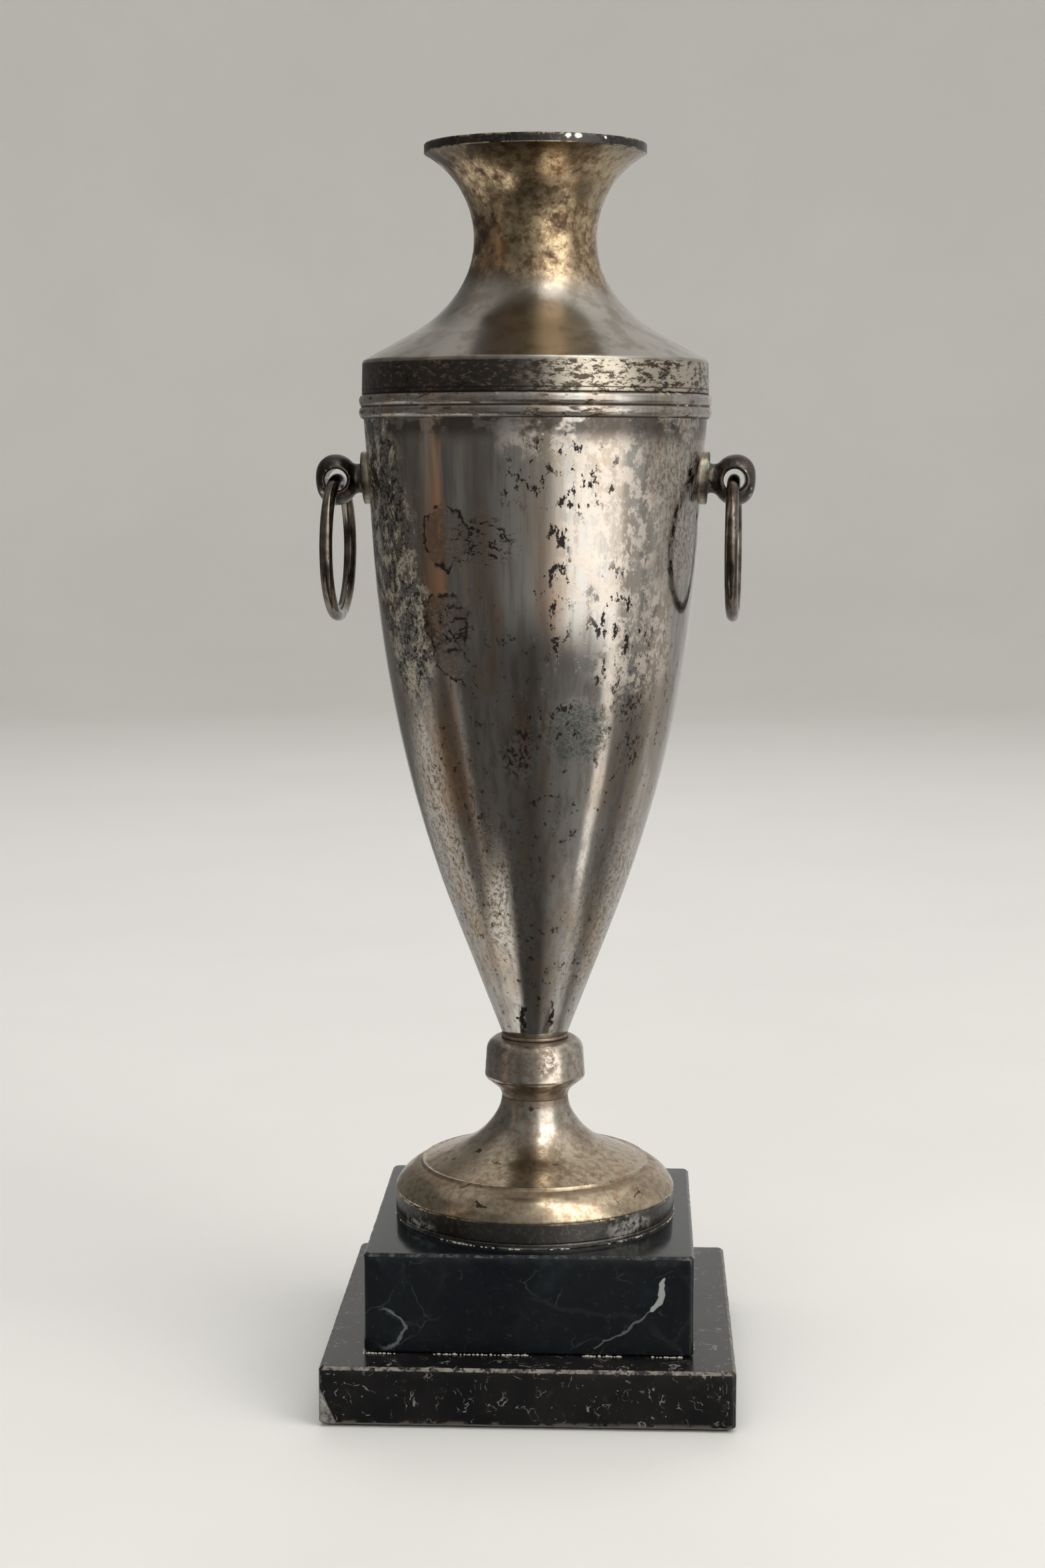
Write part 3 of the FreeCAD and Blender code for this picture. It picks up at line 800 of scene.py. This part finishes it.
def gilt_paint():
    """Foot and knop: warm worn gilt with brown mottling, darkest at the joint between them."""
    p = Paint("aged_gilt_silver")
    joint = low("knop")
    cloud = p.noise(48, 4, 0.6)
    mottle = p.noise(420, 5, 0.75)
    lower = p.climb(joint - 4, joint - 20)
    light_tone = p.mix(lower, (198, 190, 178), (208, 194, 168))
    deep_tone = p.mix(lower, (168, 154, 138), (178, 152, 126))
    colour = p.mix(p.step(mottle, 0.42, 0.62), light_tone, deep_tone)
    brown = p.any_of(
        p.all_of(p.step(cloud, 0.54, 0.68), p.step(mottle, 0.42, 0.56)),
        p.band(joint - 2.5, joint + 2.2, 1.6),
        p.all_of(p.band(low("foot") + 7.0, low("foot") + 8.4, 0.5), p.step(cloud, 0.2, 0.5)),
        p.all_of(p.band(low("foot") - 1, low("foot") + 0.6, 0.4), p.step(mottle, 0.35, 0.6)),
        p.band(high("knop") - 0.5, high("knop") + 2, 0.5),
    )
    colour = p.lay(colour, (98, 72, 50), brown, 0.6)
    scuffs = p.spots(0.66, 0.71, 140, 3, 0.6, (1, 1, 4), p.warped(220, 0.003))
    colour = p.lay(colour, (92, 80, 66), scuffs)
    p.bump(p.plus(mottle, p.times(brown, 0.6)), 0.00006, 0.35)
    rough = p.level(brown, p.level(p.step(mottle, 0.4, 0.6), 0.13, 0.22), 0.36)
    return p.finish(colour, rough, p.level(brown, 1.0, 0.78))


def dark_paint(name, node):
    """Blackened plate, worn through to pale metal along its edges."""
    p = Paint(name)
    chips = p.noise(260, 5, 0.7, at=p.warped(120, 0.003))
    cloud = p.noise(40, 3, 0.6)
    edge = p.any_of(
        p.climb(high(node) - 0.9, high(node) - 0.1),
        p.climb(low(node) + 0.5, low(node) + 0.1),
    )
    worn = p.any_of(
        p.all_of(edge, p.step(chips, 0.46, 0.55), p.step(cloud, 0.42, 0.55)),
        p.step(chips, 0.70, 0.74),
    )
    colour = p.mix(p.step(cloud, 0.35, 0.65), (84, 83, 82), (66, 63, 60))
    colour = p.lay(colour, (112, 104, 94), p.spots(0.5, 0.65, 700, 4, 0.8))
    colour = p.lay(colour, (214, 198, 162), worn)
    return p, colour, worn, cloud


def skirt_paint():
    """The foot's upright edge: gunmetal, chipped gilt at the top, wax smeared on its foot."""
    p, colour, worn, cloud = dark_paint("dark_silver", "foot_skirt")
    wax = p.any_of(
        p.patch((31, -33, low("foot_skirt") + 4.5), (9, 9, 3.2), p.warped(180, 0.005), 0.35),
        p.patch((-36, -28, low("foot_skirt") + 2.0), (8, 8, 2.4), p.warped(180, 0.005), 0.35),
        p.all_of(p.band(low("foot_skirt") - 1, low("foot_skirt") + 0.5, 0.4), p.step(cloud, 0.35, 0.5)),
    )
    wax = p.all_of(wax, p.spots(0.35, 0.6, 500, 4, 0.7))
    colour = p.lay(colour, (176, 174, 168), wax, 0.6)
    p.bump(p.any_of(worn, wax), 0.0001, 0.4)
    return p.finish(colour, p.level(wax, p.level(worn, 0.30, 0.24), 0.6), p.level(wax, 0.9, 0.1))


def rim_paint():
    """The mouth's rim: near-black, with a few white chips to the right of the front."""
    p, colour, worn, _ = dark_paint("rim_silver", "mouth_rim")
    chips = p.any_of(*[
        p.patch((x, -math.sqrt(reach("mouth_rim") ** 2 - x * x), high("mouth_rim") - 0.9), size,
                p.warped(700, 0.0006), 0.25)
        for x, size in ((11.0, (0.9, 1, 0.7)), (14.0, (1.1, 1, 0.8)), (22.0, (0.5, 1, 0.4)))
    ])
    colour = p.lay(colour, (46, 44, 44), p.spots(0.3, 0.5, 300, 4), 0.4)
    colour = p.lay(colour, (236, 234, 228), chips)
    p.bump(p.any_of(worn, chips), 0.0001, 0.5)
    return p.finish(colour, p.level(chips, 0.34, 0.6), p.level(chips, 0.85, 0.0))


def handle_paint():
    """Backplates and eyelets: gunmetal with worn bright edges and a little verdigris."""
    p = Paint("handle_metal")
    grain = p.noise(900, 4, 0.75)
    cloud = p.noise(160, 4, 0.6)
    pointy = p.add("ShaderNodeNewGeometry").outputs["Pointiness"]
    worn = p.all_of(p.step(pointy, 0.53, 0.58), p.step(cloud, 0.3, 0.55))
    green = p.all_of(p.step(p.x, 0.0, 0.05), p.step(cloud, 0.60, 0.68))
    colour = p.mix(p.step(cloud, 0.4, 0.62), (104, 98, 92), (72, 66, 60))
    colour = p.lay(colour, (128, 116, 104), p.step(grain, 0.55, 0.68))
    colour = p.lay(colour, (198, 186, 166), worn)
    colour = p.lay(colour, (122, 136, 122), green)
    p.bump(grain, 0.00005, 0.4)
    return p.finish(colour, p.level(p.step(grain, 0.4, 0.65), 0.26, 0.38), p.level(green, 1.0, 0.4))


def ring_paint():
    """The ring handles: brown-grey metal, clouded, with small dark pits."""
    p = Paint("ring_metal")
    grain = p.noise(700, 5, 0.75)
    cloud = p.noise(110, 4, 0.6)
    colour = p.mix(p.step(cloud, 0.38, 0.62), (136, 128, 118), (86, 77, 68))
    pits = p.spots(0.62, 0.67, 520, 4, 0.7)
    colour = p.lay(colour, (58, 48, 40), pits)
    p.bump(p.minus(grain, pits), 0.00006, 0.4)
    return p.finish(colour, p.level(p.step(grain, 0.4, 0.65), 0.10, 0.20), p.level(pits, 1.0, 0.7))


def steel_paint():
    """Plain zinc-plated rod, nuts and washers, dulled with age."""
    p = Paint("steel_hardware")
    grain = p.noise(800, 4, 0.7)
    rust = p.all_of(p.spots(0.58, 0.66, 190, 4), p.step(grain, 0.4, 0.6))
    colour = p.mix(grain, (150, 150, 148), (118, 116, 110))
    colour = p.lay(colour, (112, 72, 44), rust)
    p.bump(grain, 0.00004, 0.3)
    return p.finish(colour, p.level(rust, 0.38, 0.7), p.level(rust, 1.0, 0.2))


def felt_paint():
    """The felt under the slab: matted dark green fibres."""
    p = Paint("felt")
    fibre = p.noise(1500, 5, 0.8, (1, 1, 0.4), p.warped(400, 0.002))
    colour = p.mix(fibre, (22, 40, 30), (52, 76, 58))
    p.bump(fibre, 0.0003, 0.7)
    return p.finish(colour, p.level(fibre, 0.88, 0.97))


def slab_paint(chip_plane):
    """The lower stone: brown-black, with many thin pale curved flecks, polished, and
    scuffed along its bevels. The chipped corner shows the pale broken stone."""
    p = Paint("black_marble")
    bottom = low("base_slab")
    cloud = p.noise(34, 5, 0.6)
    bent = p.warped(70, 0.012, 3)
    curls = p.add("ShaderNodeTexWave", [bent], wave_type="RINGS", rings_direction="SPHERICAL")
    for key, given in (("Scale", 62.0), ("Distortion", 16.0), ("Detail", 3.0), ("Detail Scale", 2.4)):
        curls.inputs[key].default_value = given
    thin = p.step(curls.outputs["Fac"], 0.968, 0.998)
    broken = p.spots(0.50, 0.60, 190, 3, 0.6)
    fleck = p.all_of(thin, broken)
    dots = p.all_of(p.step(p.cells(330), 0.11, 0.06), p.spots(0.5, 0.6, 60, 3))
    colour = p.mix(p.step(cloud, 0.35, 0.7), (15, 15, 16), (29, 27, 27))
    colour = p.lay(colour, (54, 47, 42), p.spots(0.55, 0.75, 240, 4, 0.7), 0.5)
    colour = p.lay(colour, (136, 134, 130), p.any_of(fleck, dots), 0.75)

    scuff = p.all_of(p.top_edge("base_slab", 0.0012, 0.0007), p.spots(0.42, 0.56, 420, 5, 0.75))
    colour = p.lay(colour, (176, 166, 150), scuff, 0.7)

    normal, offset = chip_plane
    along = p.vector("DOT_PRODUCT", p.place, tuple(normal))
    broken_face = p.step(along, offset - 0.0012, offset - 0.0006)
    stone = p.mix(p.spots(0.35, 0.65, 420, 5, 0.8), (150, 148, 142), (66, 62, 60))
    colour = p.mix(broken_face, colour, stone)
    dust = p.all_of(p.band(bottom - 1, bottom + 1.4, 0.8), p.spots(0.45, 0.6, 200, 4))
    colour = p.lay(colour, (126, 116, 102), dust, 0.5)
    dull = p.any_of(scuff, broken_face, dust)
    p.bump(p.noise(900, 5, 0.8), 0.00012, p.level(dull, 0.04, 0.9))
    rough = p.level(dull, p.level(p.step(cloud, 0.3, 0.7), 0.16, 0.26), 0.7)
    return p.finish(colour, rough, specular=0.55)


def block_paint():
    """The upper stone: polished blue-black and green-black, with a white vein that runs
    down to a leaf-shaped white blaze at the front right, and a pale curved vein front left."""
    p = Paint("dark_marble")
    base, front = low("plinth_block"), -reach("plinth_block")
    middle = (base + high("plinth_block")) / 2
    bent = p.warped(45, 0.010, 4)
    fine_bent = p.warped(160, 0.003, 4)
    cloud = p.noise(22, 5, 0.6, at=bent)
    colour = p.mix(p.step(cloud, 0.35, 0.65), (10, 13, 20), (17, 22, 24))
    colour = p.lay(colour, (28, 35, 40), p.spots(0.55, 0.75, 60, 4, 0.6, at=bent))
    grain = p.spots(0.56, 0.7, 500, 4, 0.75)
    colour = p.lay(colour, (62, 68, 70), grain, 0.25)
    web = p.cells(26, bent, "DISTANCE_TO_EDGE")
    vein = p.all_of(p.step(web, 0.030, 0.006), p.spots(0.50, 0.62, 24, 3))
    fine_web = p.cells(70, fine_bent, "DISTANCE_TO_EDGE")
    hair = p.all_of(p.step(fine_web, 0.022, 0.004), p.spots(0.54, 0.64, 40, 3))
    hook = p.distance((-44, front, base + 8), (5.6, 20, 6.2), fine_bent)
    hook = p.all_of(p.step(hook, 0.88, 0.97), p.step(hook, 1.10, 1.02), p.step(p.x, -0.047, -0.042))
    leaf_top, leaf_foot = Vector((42.2, 0, middle + 8.6)), Vector((38.8, 0, middle - 0.8))
    leaf = p.strand(leaf_top, leaf_foot, 1.25, fine_bent, 0.5)
    stalk = p.strand(leaf_foot, Vector((21, 0, base + 2.2)), 0.34, fine_bent, 0.0)
    front_only = p.step(p.y, (front + 16) * MM, (front + 8) * MM)
    blaze = p.all_of(p.any_of(leaf, p.times(stalk, 0.30)), front_only)
    veins = p.any_of(p.times(vein, 0.02), p.times(hair, 0.06), p.times(hook, 0.35))
    colour = p.lay(colour, (150, 160, 158), veins)
    colour = p.lay(colour, (158, 162, 160), blaze, 0.85)
    scuff = p.all_of(p.top_edge("plinth_block", 0.0011, 0.0006), p.spots(0.46, 0.6, 380, 5, 0.75))
    colour = p.lay(colour, (150, 152, 146), scuff, 0.55)
    p.bump(p.noise(800, 4, 0.8), 0.0001, p.level(scuff, 0.03, 0.7))
    rough = p.level(scuff, p.level(p.step(cloud, 0.3, 0.7), 0.10, 0.17), 0.55)
    return p.finish(colour, rough, specular=0.6)


def glue_paint():
    """Old hard glue that has squeezed out and picked up dust."""
    p = Paint("glue")
    grain = p.noise(700, 4, 0.7)
    colour = p.mix(grain, (206, 202, 190), (150, 142, 128))
    p.bump(grain, 0.0001, 0.5)
    return p.finish(colour, p.level(grain, 0.45, 0.7))


# ------------------------------------------------------------------------------- stones


def rounded_square(half, corner, step=1.0):
    """Points round a square with rounded corners, in millimetres."""
    points = []
    straight = half - corner
    count = max(2, round(2 * straight / step))
    for quarter in range(4):
        c, s = math.cos(quarter * math.pi / 2), math.sin(quarter * math.pi / 2)
        side = [(half, -straight + 2 * straight * k / count) for k in range(count)]
        for k in range(6):
            turn = k / 6 * math.pi / 2
            side.append((straight + corner * math.cos(turn), straight + corner * math.sin(turn)))
        points += [(c * x - s * y, s * x + c * y) for x, y in side]
    return points


def stone(node, name, material, slot, cutters=()):
    """A polished square stone with bevelled edges, a little worn, in place of its node."""
    base, height, half = low(node), high(node) - low(node), reach(node)
    corner, bevel = 1.5, 0.9
    profile = [
        (0, 0),
        (half - bevel, 0),
        (half, bevel),
        (half, height - bevel),
        (half - bevel, height),
        (0, height),
    ]
    eased = [p for p in ease(trace(profile + profile[:1], 2.0), 0.25) if p[0] > half - 2 * bevel]
    eased.sort(key=lambda p: p[1] + (0.001 * p[0] if p[1] < height / 2 else -0.001 * p[0]))
    vertices = []
    for across, up in eased:
        inset = half - across
        worn = 0.16 if min(up, height - up) < 1.4 * bevel else 0.0
        for x, y in rounded_square(half, corner):
            spot = Vector((x, y, up + base)) * MM
            chips = max(0.0, uneven(spot, 0.0035, 11)) + 0.5 * max(0.0, uneven(spot, 0.0012, 13))
            shrink = (half - inset - worn * chips) / half
            vertices.append((x * shrink * MM, y * shrink * MM, (up + base) * MM))
    length = len(vertices) // len(eased)
    faces = ring_faces(len(eased), length)[: (len(eased) - 1) * length]
    faces.append(tuple(range(length))[::-1])
    faces.append(tuple(range((len(eased) - 1) * length, len(eased) * length)))
    piece = finish_mesh(name, vertices, faces, material, BODY, node)
    for cutter in cutters:
        cut = piece.modifiers.new("cut", "BOOLEAN")
        cut.operation, cut.object, cut.solver = "DIFFERENCE", cutter, "EXACT"
    settle(piece)
    for cutter in cutters:
        bpy.data.objects.remove(cutter)
    sharpen(piece, 30)
    return piece


def settle(piece):
    """Applies a piece's modifiers."""
    evaluated = piece.evaluated_get(bpy.context.evaluated_depsgraph_get())
    mesh = bpy.data.meshes.new_from_object(evaluated)
    piece.modifiers.clear()
    piece.data = mesh


def sharpen(piece, degrees):
    """Marks the edges where the faces meet at more than an angle as sharp."""
    made = bmesh.new()
    made.from_mesh(piece.data)
    for edge in made.edges:
        edge.smooth = edge.calc_face_angle(0.0) < math.radians(degrees)
    made.to_mesh(piece.data)
    made.free()


def drill(radius, start, end):
    """A round cutter on the axis, between two levels in millimetres."""
    made = bmesh.new()
    size = dict(radius1=radius * MM, radius2=radius * MM, depth=(end - start) * MM)
    bmesh.ops.create_cone(made, cap_ends=True, segments=96, **size)
    bmesh.ops.translate(made, verts=made.verts, vec=(0, 0, (start + end) / 2 * MM))
    return new_object("drill", made)


def chip_cutter(corner, normal, depth):
    """A lump whose rough near side takes a flake off a corner."""
    made = bmesh.new()
    bmesh.ops.create_grid(made, x_segments=60, y_segments=60, size=14 * MM)
    front = list(made.verts)
    turn = Vector((0, 0, 1)).rotation_difference(Vector(normal)).to_matrix()
    centre = Vector(corner) - Vector(normal) * depth
    for vertex in front:
        rough = 0.5 * uneven(vertex.co, 0.004, 17) + 0.18 * uneven(vertex.co, 0.0012, 19)
        vertex.co.z += rough * MM
    extruded = bmesh.ops.extrude_face_region(made, geom=list(made.faces))
    for item in extruded["geom"]:
        if isinstance(item, bmesh.types.BMVert):
            item.co.z = 12 * MM
    for vertex in made.verts:
        vertex.co = turn @ vertex.co + centre
    bmesh.ops.recalc_face_normals(made, faces=made.faces)
    return new_object("flake", made)


# -------------------------------------------------------------------------- small pieces


def glue_line(material):
    """Crumbs of glue along the joint between the two stones, and round the metal foot."""
    draw = random.Random(41)
    half, joint = reach("plinth_block"), high("base_slab")
    made = bmesh.new()
    places = []
    for quarter in range(4):
        along = -half
        while along < half:
            along += draw.uniform(0.5, 1.5)
            if uneven((along * MM, quarter * 0.5, 0), 0.014, 23) > 0.06:
                continue
            places.append((quarter, along, draw.uniform(0.16, 0.42)))
    for quarter, along, size in places:
        c, s = math.cos(quarter * math.pi / 2), math.sin(quarter * math.pi / 2)
        x, y = along, -half - 0.1
        lump = bmesh.ops.create_icosphere(made, subdivisions=2, radius=1.0)["verts"]
        stretch = draw.uniform(1.0, 2.2)
        for vertex in lump:
            rough = 1 + 0.25 * uneven(vertex.co, 0.8, along)
            point = vertex.co * rough
            px = x + point.x * size * stretch
            py = y + point.y * size
            pz = joint + max(0.0, 0.35 + point.z) * size
            vertex.co = (c * px - s * py) * MM, (s * px + c * py) * MM, pz * MM
    for _ in range(150):
        turn = draw.uniform(0, 2 * math.pi)
        size = draw.uniform(0.12, 0.30)
        if uneven((math.cos(turn), math.sin(turn), 0), 0.35, 29) > 0.1:
            continue
        radius = reach("foot_skirt") + 0.1
        lump = bmesh.ops.create_icosphere(made, subdivisions=2, radius=1.0)["verts"]
        for vertex in lump:
            point = vertex.co * size * (1 + 0.25 * uneven(vertex.co, 0.8, turn * 7))
            out = radius + point.x
            swing = turn + 2.2 * point.y / radius
            up = high("plinth_block") + max(0.0, point.z + 0.3 * size)
            vertex.co = out * math.sin(swing) * MM, -out * math.cos(swing) * MM, up * MM
    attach(new_object("glue_crumbs", made, material, True), BODY)


def ring(hand, material, seam_turn):
    """A ring handle of slightly uneven drawn wire, closed with a solder seam."""
    node = "ring_" + hand
    lowest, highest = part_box(node)
    centre = (lowest + highest) / 2
    wire = 2.05 * MM
    radius = (highest.z - lowest.z) / 2 - wire
    joint = next(j for j in frame["joints"] if j["child"] == node)
    flat = Vector(joint["axis"]).normalized()
    if flat.y < 0:
        flat = -flat
    up = Vector((0, 0, 1))
    across = up.cross(flat)
    rounds, sides = 240, 40
    vertices = []
    for j in range(rounds):
        turn = 2 * math.pi * j / rounds
        out = up * math.cos(turn) + flat * math.sin(turn)
        off = math.degrees(turn) - seam_turn
        off = math.radians((off + 180) % 360 - 180) * radius / MM
        seam = 0.13 * math.exp(-((off / 0.9) ** 2)) - 0.10 * math.exp(-((off / 0.25) ** 2))
        for i in range(sides):
            side = 2 * math.pi * i / sides
            skin = out * math.cos(side) + across * math.sin(side)
            spot = centre + out * radius + skin * wire
            swell = 0.022 * uneven(spot, 0.006, 31) + 0.018 * uneven(spot, 0.018, 37) - 0.03
            if abs(off) < 3:
                swell += seam * (1 + 0.5 * uneven(spot, 0.0015, 43))
            vertices.append(centre + out * radius + skin * (wire + swell * MM))
    faces = ring_faces(rounds, sides)
    finish_mesh(node + "_wire", vertices, faces, material, node, node)


# ------------------------------------------------------------------ stage, light, camera


def studio():
    """A pale floor that sweeps up all round, far off, and the even light of the world."""
    floor_paint = Paint("studio_floor")
    tone = floor_paint.mix(floor_paint.noise(6, 3), (214, 213, 210), (222, 221, 218))
    floor = floor_paint.finish(tone, 0.75)
    made = bmesh.new()
    flat, bend, wall_top, around = 2.2, 0.8, 3.2, 96
    turns = np.linspace(0, 2 * math.pi, around, endpoint=False)
    rings = [(0.6, 0.0), (1.5, 0.0), (flat, 0.0)]
    for angle in np.linspace(0.15, math.pi / 2, 10):
        rings.append((flat + bend * math.sin(angle), bend - bend * math.cos(angle)))
    rings.append((flat + bend, wall_top))
    loops = [
        [made.verts.new((radius * math.cos(turn), radius * math.sin(turn), level)) for turn in turns]
        for radius, level in rings
    ]
    made.faces.new(loops[0])
    for inner, outer in zip(loops, loops[1:]):
        for i in range(around):
            k = (i + 1) % around
            made.faces.new((inner[i], outer[i], outer[k], inner[k]))
    bmesh.ops.recalc_face_normals(made, faces=made.faces)
    sweep = new_object("studio", made, floor, True)
    sweep.visible_glossy = False

    world = bpy.data.worlds.new("studio")
    world.use_nodes = True
    sky = world.node_tree.nodes["Background"].inputs
    sky["Color"].default_value = rgb(196, 194, 190)
    sky["Strength"].default_value = 1.2
    bpy.context.scene.world = world


def aim(thing, bearing, rise, distance):
    """Puts something at a bearing and a rise from the target, facing it."""
    a, e = math.radians(bearing), math.radians(rise)
    away = Vector((math.sin(a) * math.cos(e), -math.cos(a) * math.cos(e), math.sin(e)))
    thing.location = Vector(TARGET) + away * distance
    thing.rotation_euler = (-away).to_track_quat("-Z", "Y").to_euler()


def panel(name, bearing, rise, distance, width, height, power, colour=(1, 1, 1)):
    light = bpy.data.lights.new(name, "AREA")
    light.shape, light.size, light.size_y = "RECTANGLE", width, height
    light.energy, light.color = power, colour
    thing = bpy.data.objects.new(name, light)
    bpy.context.scene.collection.objects.link(thing)
    aim(thing, bearing, rise, distance)
    thing.visible_camera = False
    thing.visible_glossy = False


def surroundings():
    """What the metal mirrors: a closed tent of soft light round the set, dark in front and
    to the left, with a tall window to the right of the front. Each ramp gives the tent's light
    by bearing: underneath, below the horizon, about it, and overhead."""
    p = Paint("tent")
    rise = p.minus(p.z, TARGET[2])
    out = p.math("SQRT", p.plus(p.times(p.x, p.x), p.times(p.y, p.y)))
    turn = p.math("ARCTAN2", p.x, p.times(p.y, -1.0))
    turn = p.plus(turn, p.times(p.minus(p.noise(1.6, 3), 0.5), 0.16))
    place = p.plus(p.math("DIVIDE", turn, 2 * math.pi), 0.5)
    pitch = p.math("ARCTAN2", rise, out)
    under = p.ramp(place, [
        (-180, 0.50), (-120, 0.70), (-62, 1.05), (-46, 1.00), (-38, 0.40), (-30, 0.08), (12, 0.09),
        (34, 0.30), (50, 0.48), (72, 0.70), (84, 0.55), (98, 0.30), (124, 0.56), (150, 0.66),
        (180, 0.50),
    ])
    bottom = p.ramp(place, [
        (-180, 0.46), (-142, 0.48), (-108, 0.66), (-94, 0.50), (-84, 0.13), (-72, 0.10), (-64, 0.34),
        (-58, 0.10), (-40, 0.11), (0, 0.08), (22, 0.19), (42, 0.28), (56, 0.34), (61, 1.40), (67, 1.40),
        (72, 0.28), (92, 0.18), (106, 0.32), (124, 0.58), (150, 0.66), (180, 0.46),
    ], {-68: (0.26, 0.20, 0.16)})
    middle = p.ramp(place, [
        (-180, 0.62), (-168, 0.55), (-156, 0.16), (-118, 0.12), (-84, 0.10), (-76, 0.20), (-62, 0.10),
        (-50, 0.18), (-36, 0.12), (-8, 0.26), (8, 0.38), (20, 1.15), (28, 1.85), (58, 1.90),
        (70, 0.62), (88, 0.42), (104, 0.56), (140, 0.42), (160, 0.58), (180, 0.62),
    ], {-68: (0.34, 0.25, 0.19)})
    top = p.ramp(place, [
        (-180, 0.50), (-120, 0.36), (-70, 0.22), (-20, 0.26), (12, 0.60), (30, 2.5), (60, 2.7),
        (80, 1.0), (120, 0.8), (180, 0.50),
    ])
    light = p.mix(p.step(pitch, math.radians(-45), math.radians(-39)), under, bottom)
    light = p.mix(p.step(pitch, math.radians(-20), math.radians(-13)), light, middle)
    light = p.mix(p.step(pitch, math.radians(34), math.radians(50)), light, top)
    tree = p.tree
    tree.nodes.remove(p.shader)
    glow = p.add("ShaderNodeEmission", [light, TENT_STRENGTH])
    tree.links.new(glow.outputs[0], tree.nodes["Material Output"].inputs["Surface"])
    made = bmesh.new()
    bmesh.ops.create_uvsphere(made, u_segments=96, v_segments=48, radius=3.6)
    tent = new_object("tent", made, p.material)
    tent.visible_camera = False
    tent.visible_diffuse = False
    tent.visible_shadow = False


def lights():
    panel("window", 60, 32, 1.6, 1.0, 1.3, 14, (1.0, 0.98, 0.95))
    panel("overhead", 20, 78, 1.7, 1.4, 1.4, 9)
    panel("front_fill", -20, 30, 1.9, 1.1, 0.6, 6)
    panel("back_fill", 180, 40, 1.9, 1.4, 0.6, 8)


def camera():
    """Low and close, looking slightly down, a little to the right of square on."""
    bearing, distance, height = 2.2, 0.82892, 0.2961
    dip, swing = 7.291, 0.277
    data = bpy.data.cameras.new("camera")
    data.lens, data.sensor_width = 60.18, 36.0
    thing = bpy.data.objects.new("camera", data)
    bpy.context.scene.collection.objects.link(thing)
    a = math.radians(bearing)
    thing.location = (math.sin(a) * distance, -math.cos(a) * distance, height)
    thing.rotation_euler = (math.radians(90 - dip), 0, math.radians(bearing + swing))
    bpy.context.scene.camera = thing
    bpy.context.scene.view_settings.view_transform = "Standard"


# ------------------------------------------------------------------------------- build

gilt = gilt_paint()
steel = steel_paint()
plain_handle = handle_paint()
foot_skirt(skirt_paint())
foot(gilt)
knop(gilt)
cup_seat_bead(gilt)
cup_body(cup_paint())
bead_band(bead_paint())
shoulder_neck(neck_paint())
mouth_rim(rim_paint())

chip_corner = Vector((-reach("base_slab"), -reach("base_slab"), low("base_slab"))) * MM
chip_normal = Vector((-1.0, -0.55, -0.45)).normalized()
chip_depth = 3.6 * MM
chip_plane = (chip_normal, chip_corner.dot(chip_normal) - chip_depth)
recess = (11.0, low("base_slab") - 1, low("base_slab") + 9.0)
through = (4.0, low("base_slab") - 1, high("plinth_block") + 1)
stone(
    "base_slab",
    "base_slab_stone",
    slab_paint(chip_plane),
    "black_marble",
    [chip_cutter(chip_corner, chip_normal, chip_depth), drill(*recess), drill(*through)],
)
stone("plinth_block", "plinth_block_stone", block_paint(), "dark_marble", [drill(*through)])
glue_line(glue_paint())

wire = ring_paint()
ring("left", wire, 176)
ring("right", wire, 8)

for metal, names in (
    (plain_handle, ["backplate_", "eyelet_"]),
    (steel, ["handle_washer_", "handle_nut_"]),
):
    for name in names:
        paint_node(name + "left", metal)
        paint_node(name + "right", metal)
for name in ("base_washer", "base_nut", "cup_washer", "cup_nut", "tie_rod"):
    paint_node(name, steel)
paint_node("felt_pad", felt_paint())

studio()
surroundings()
lights()
camera()
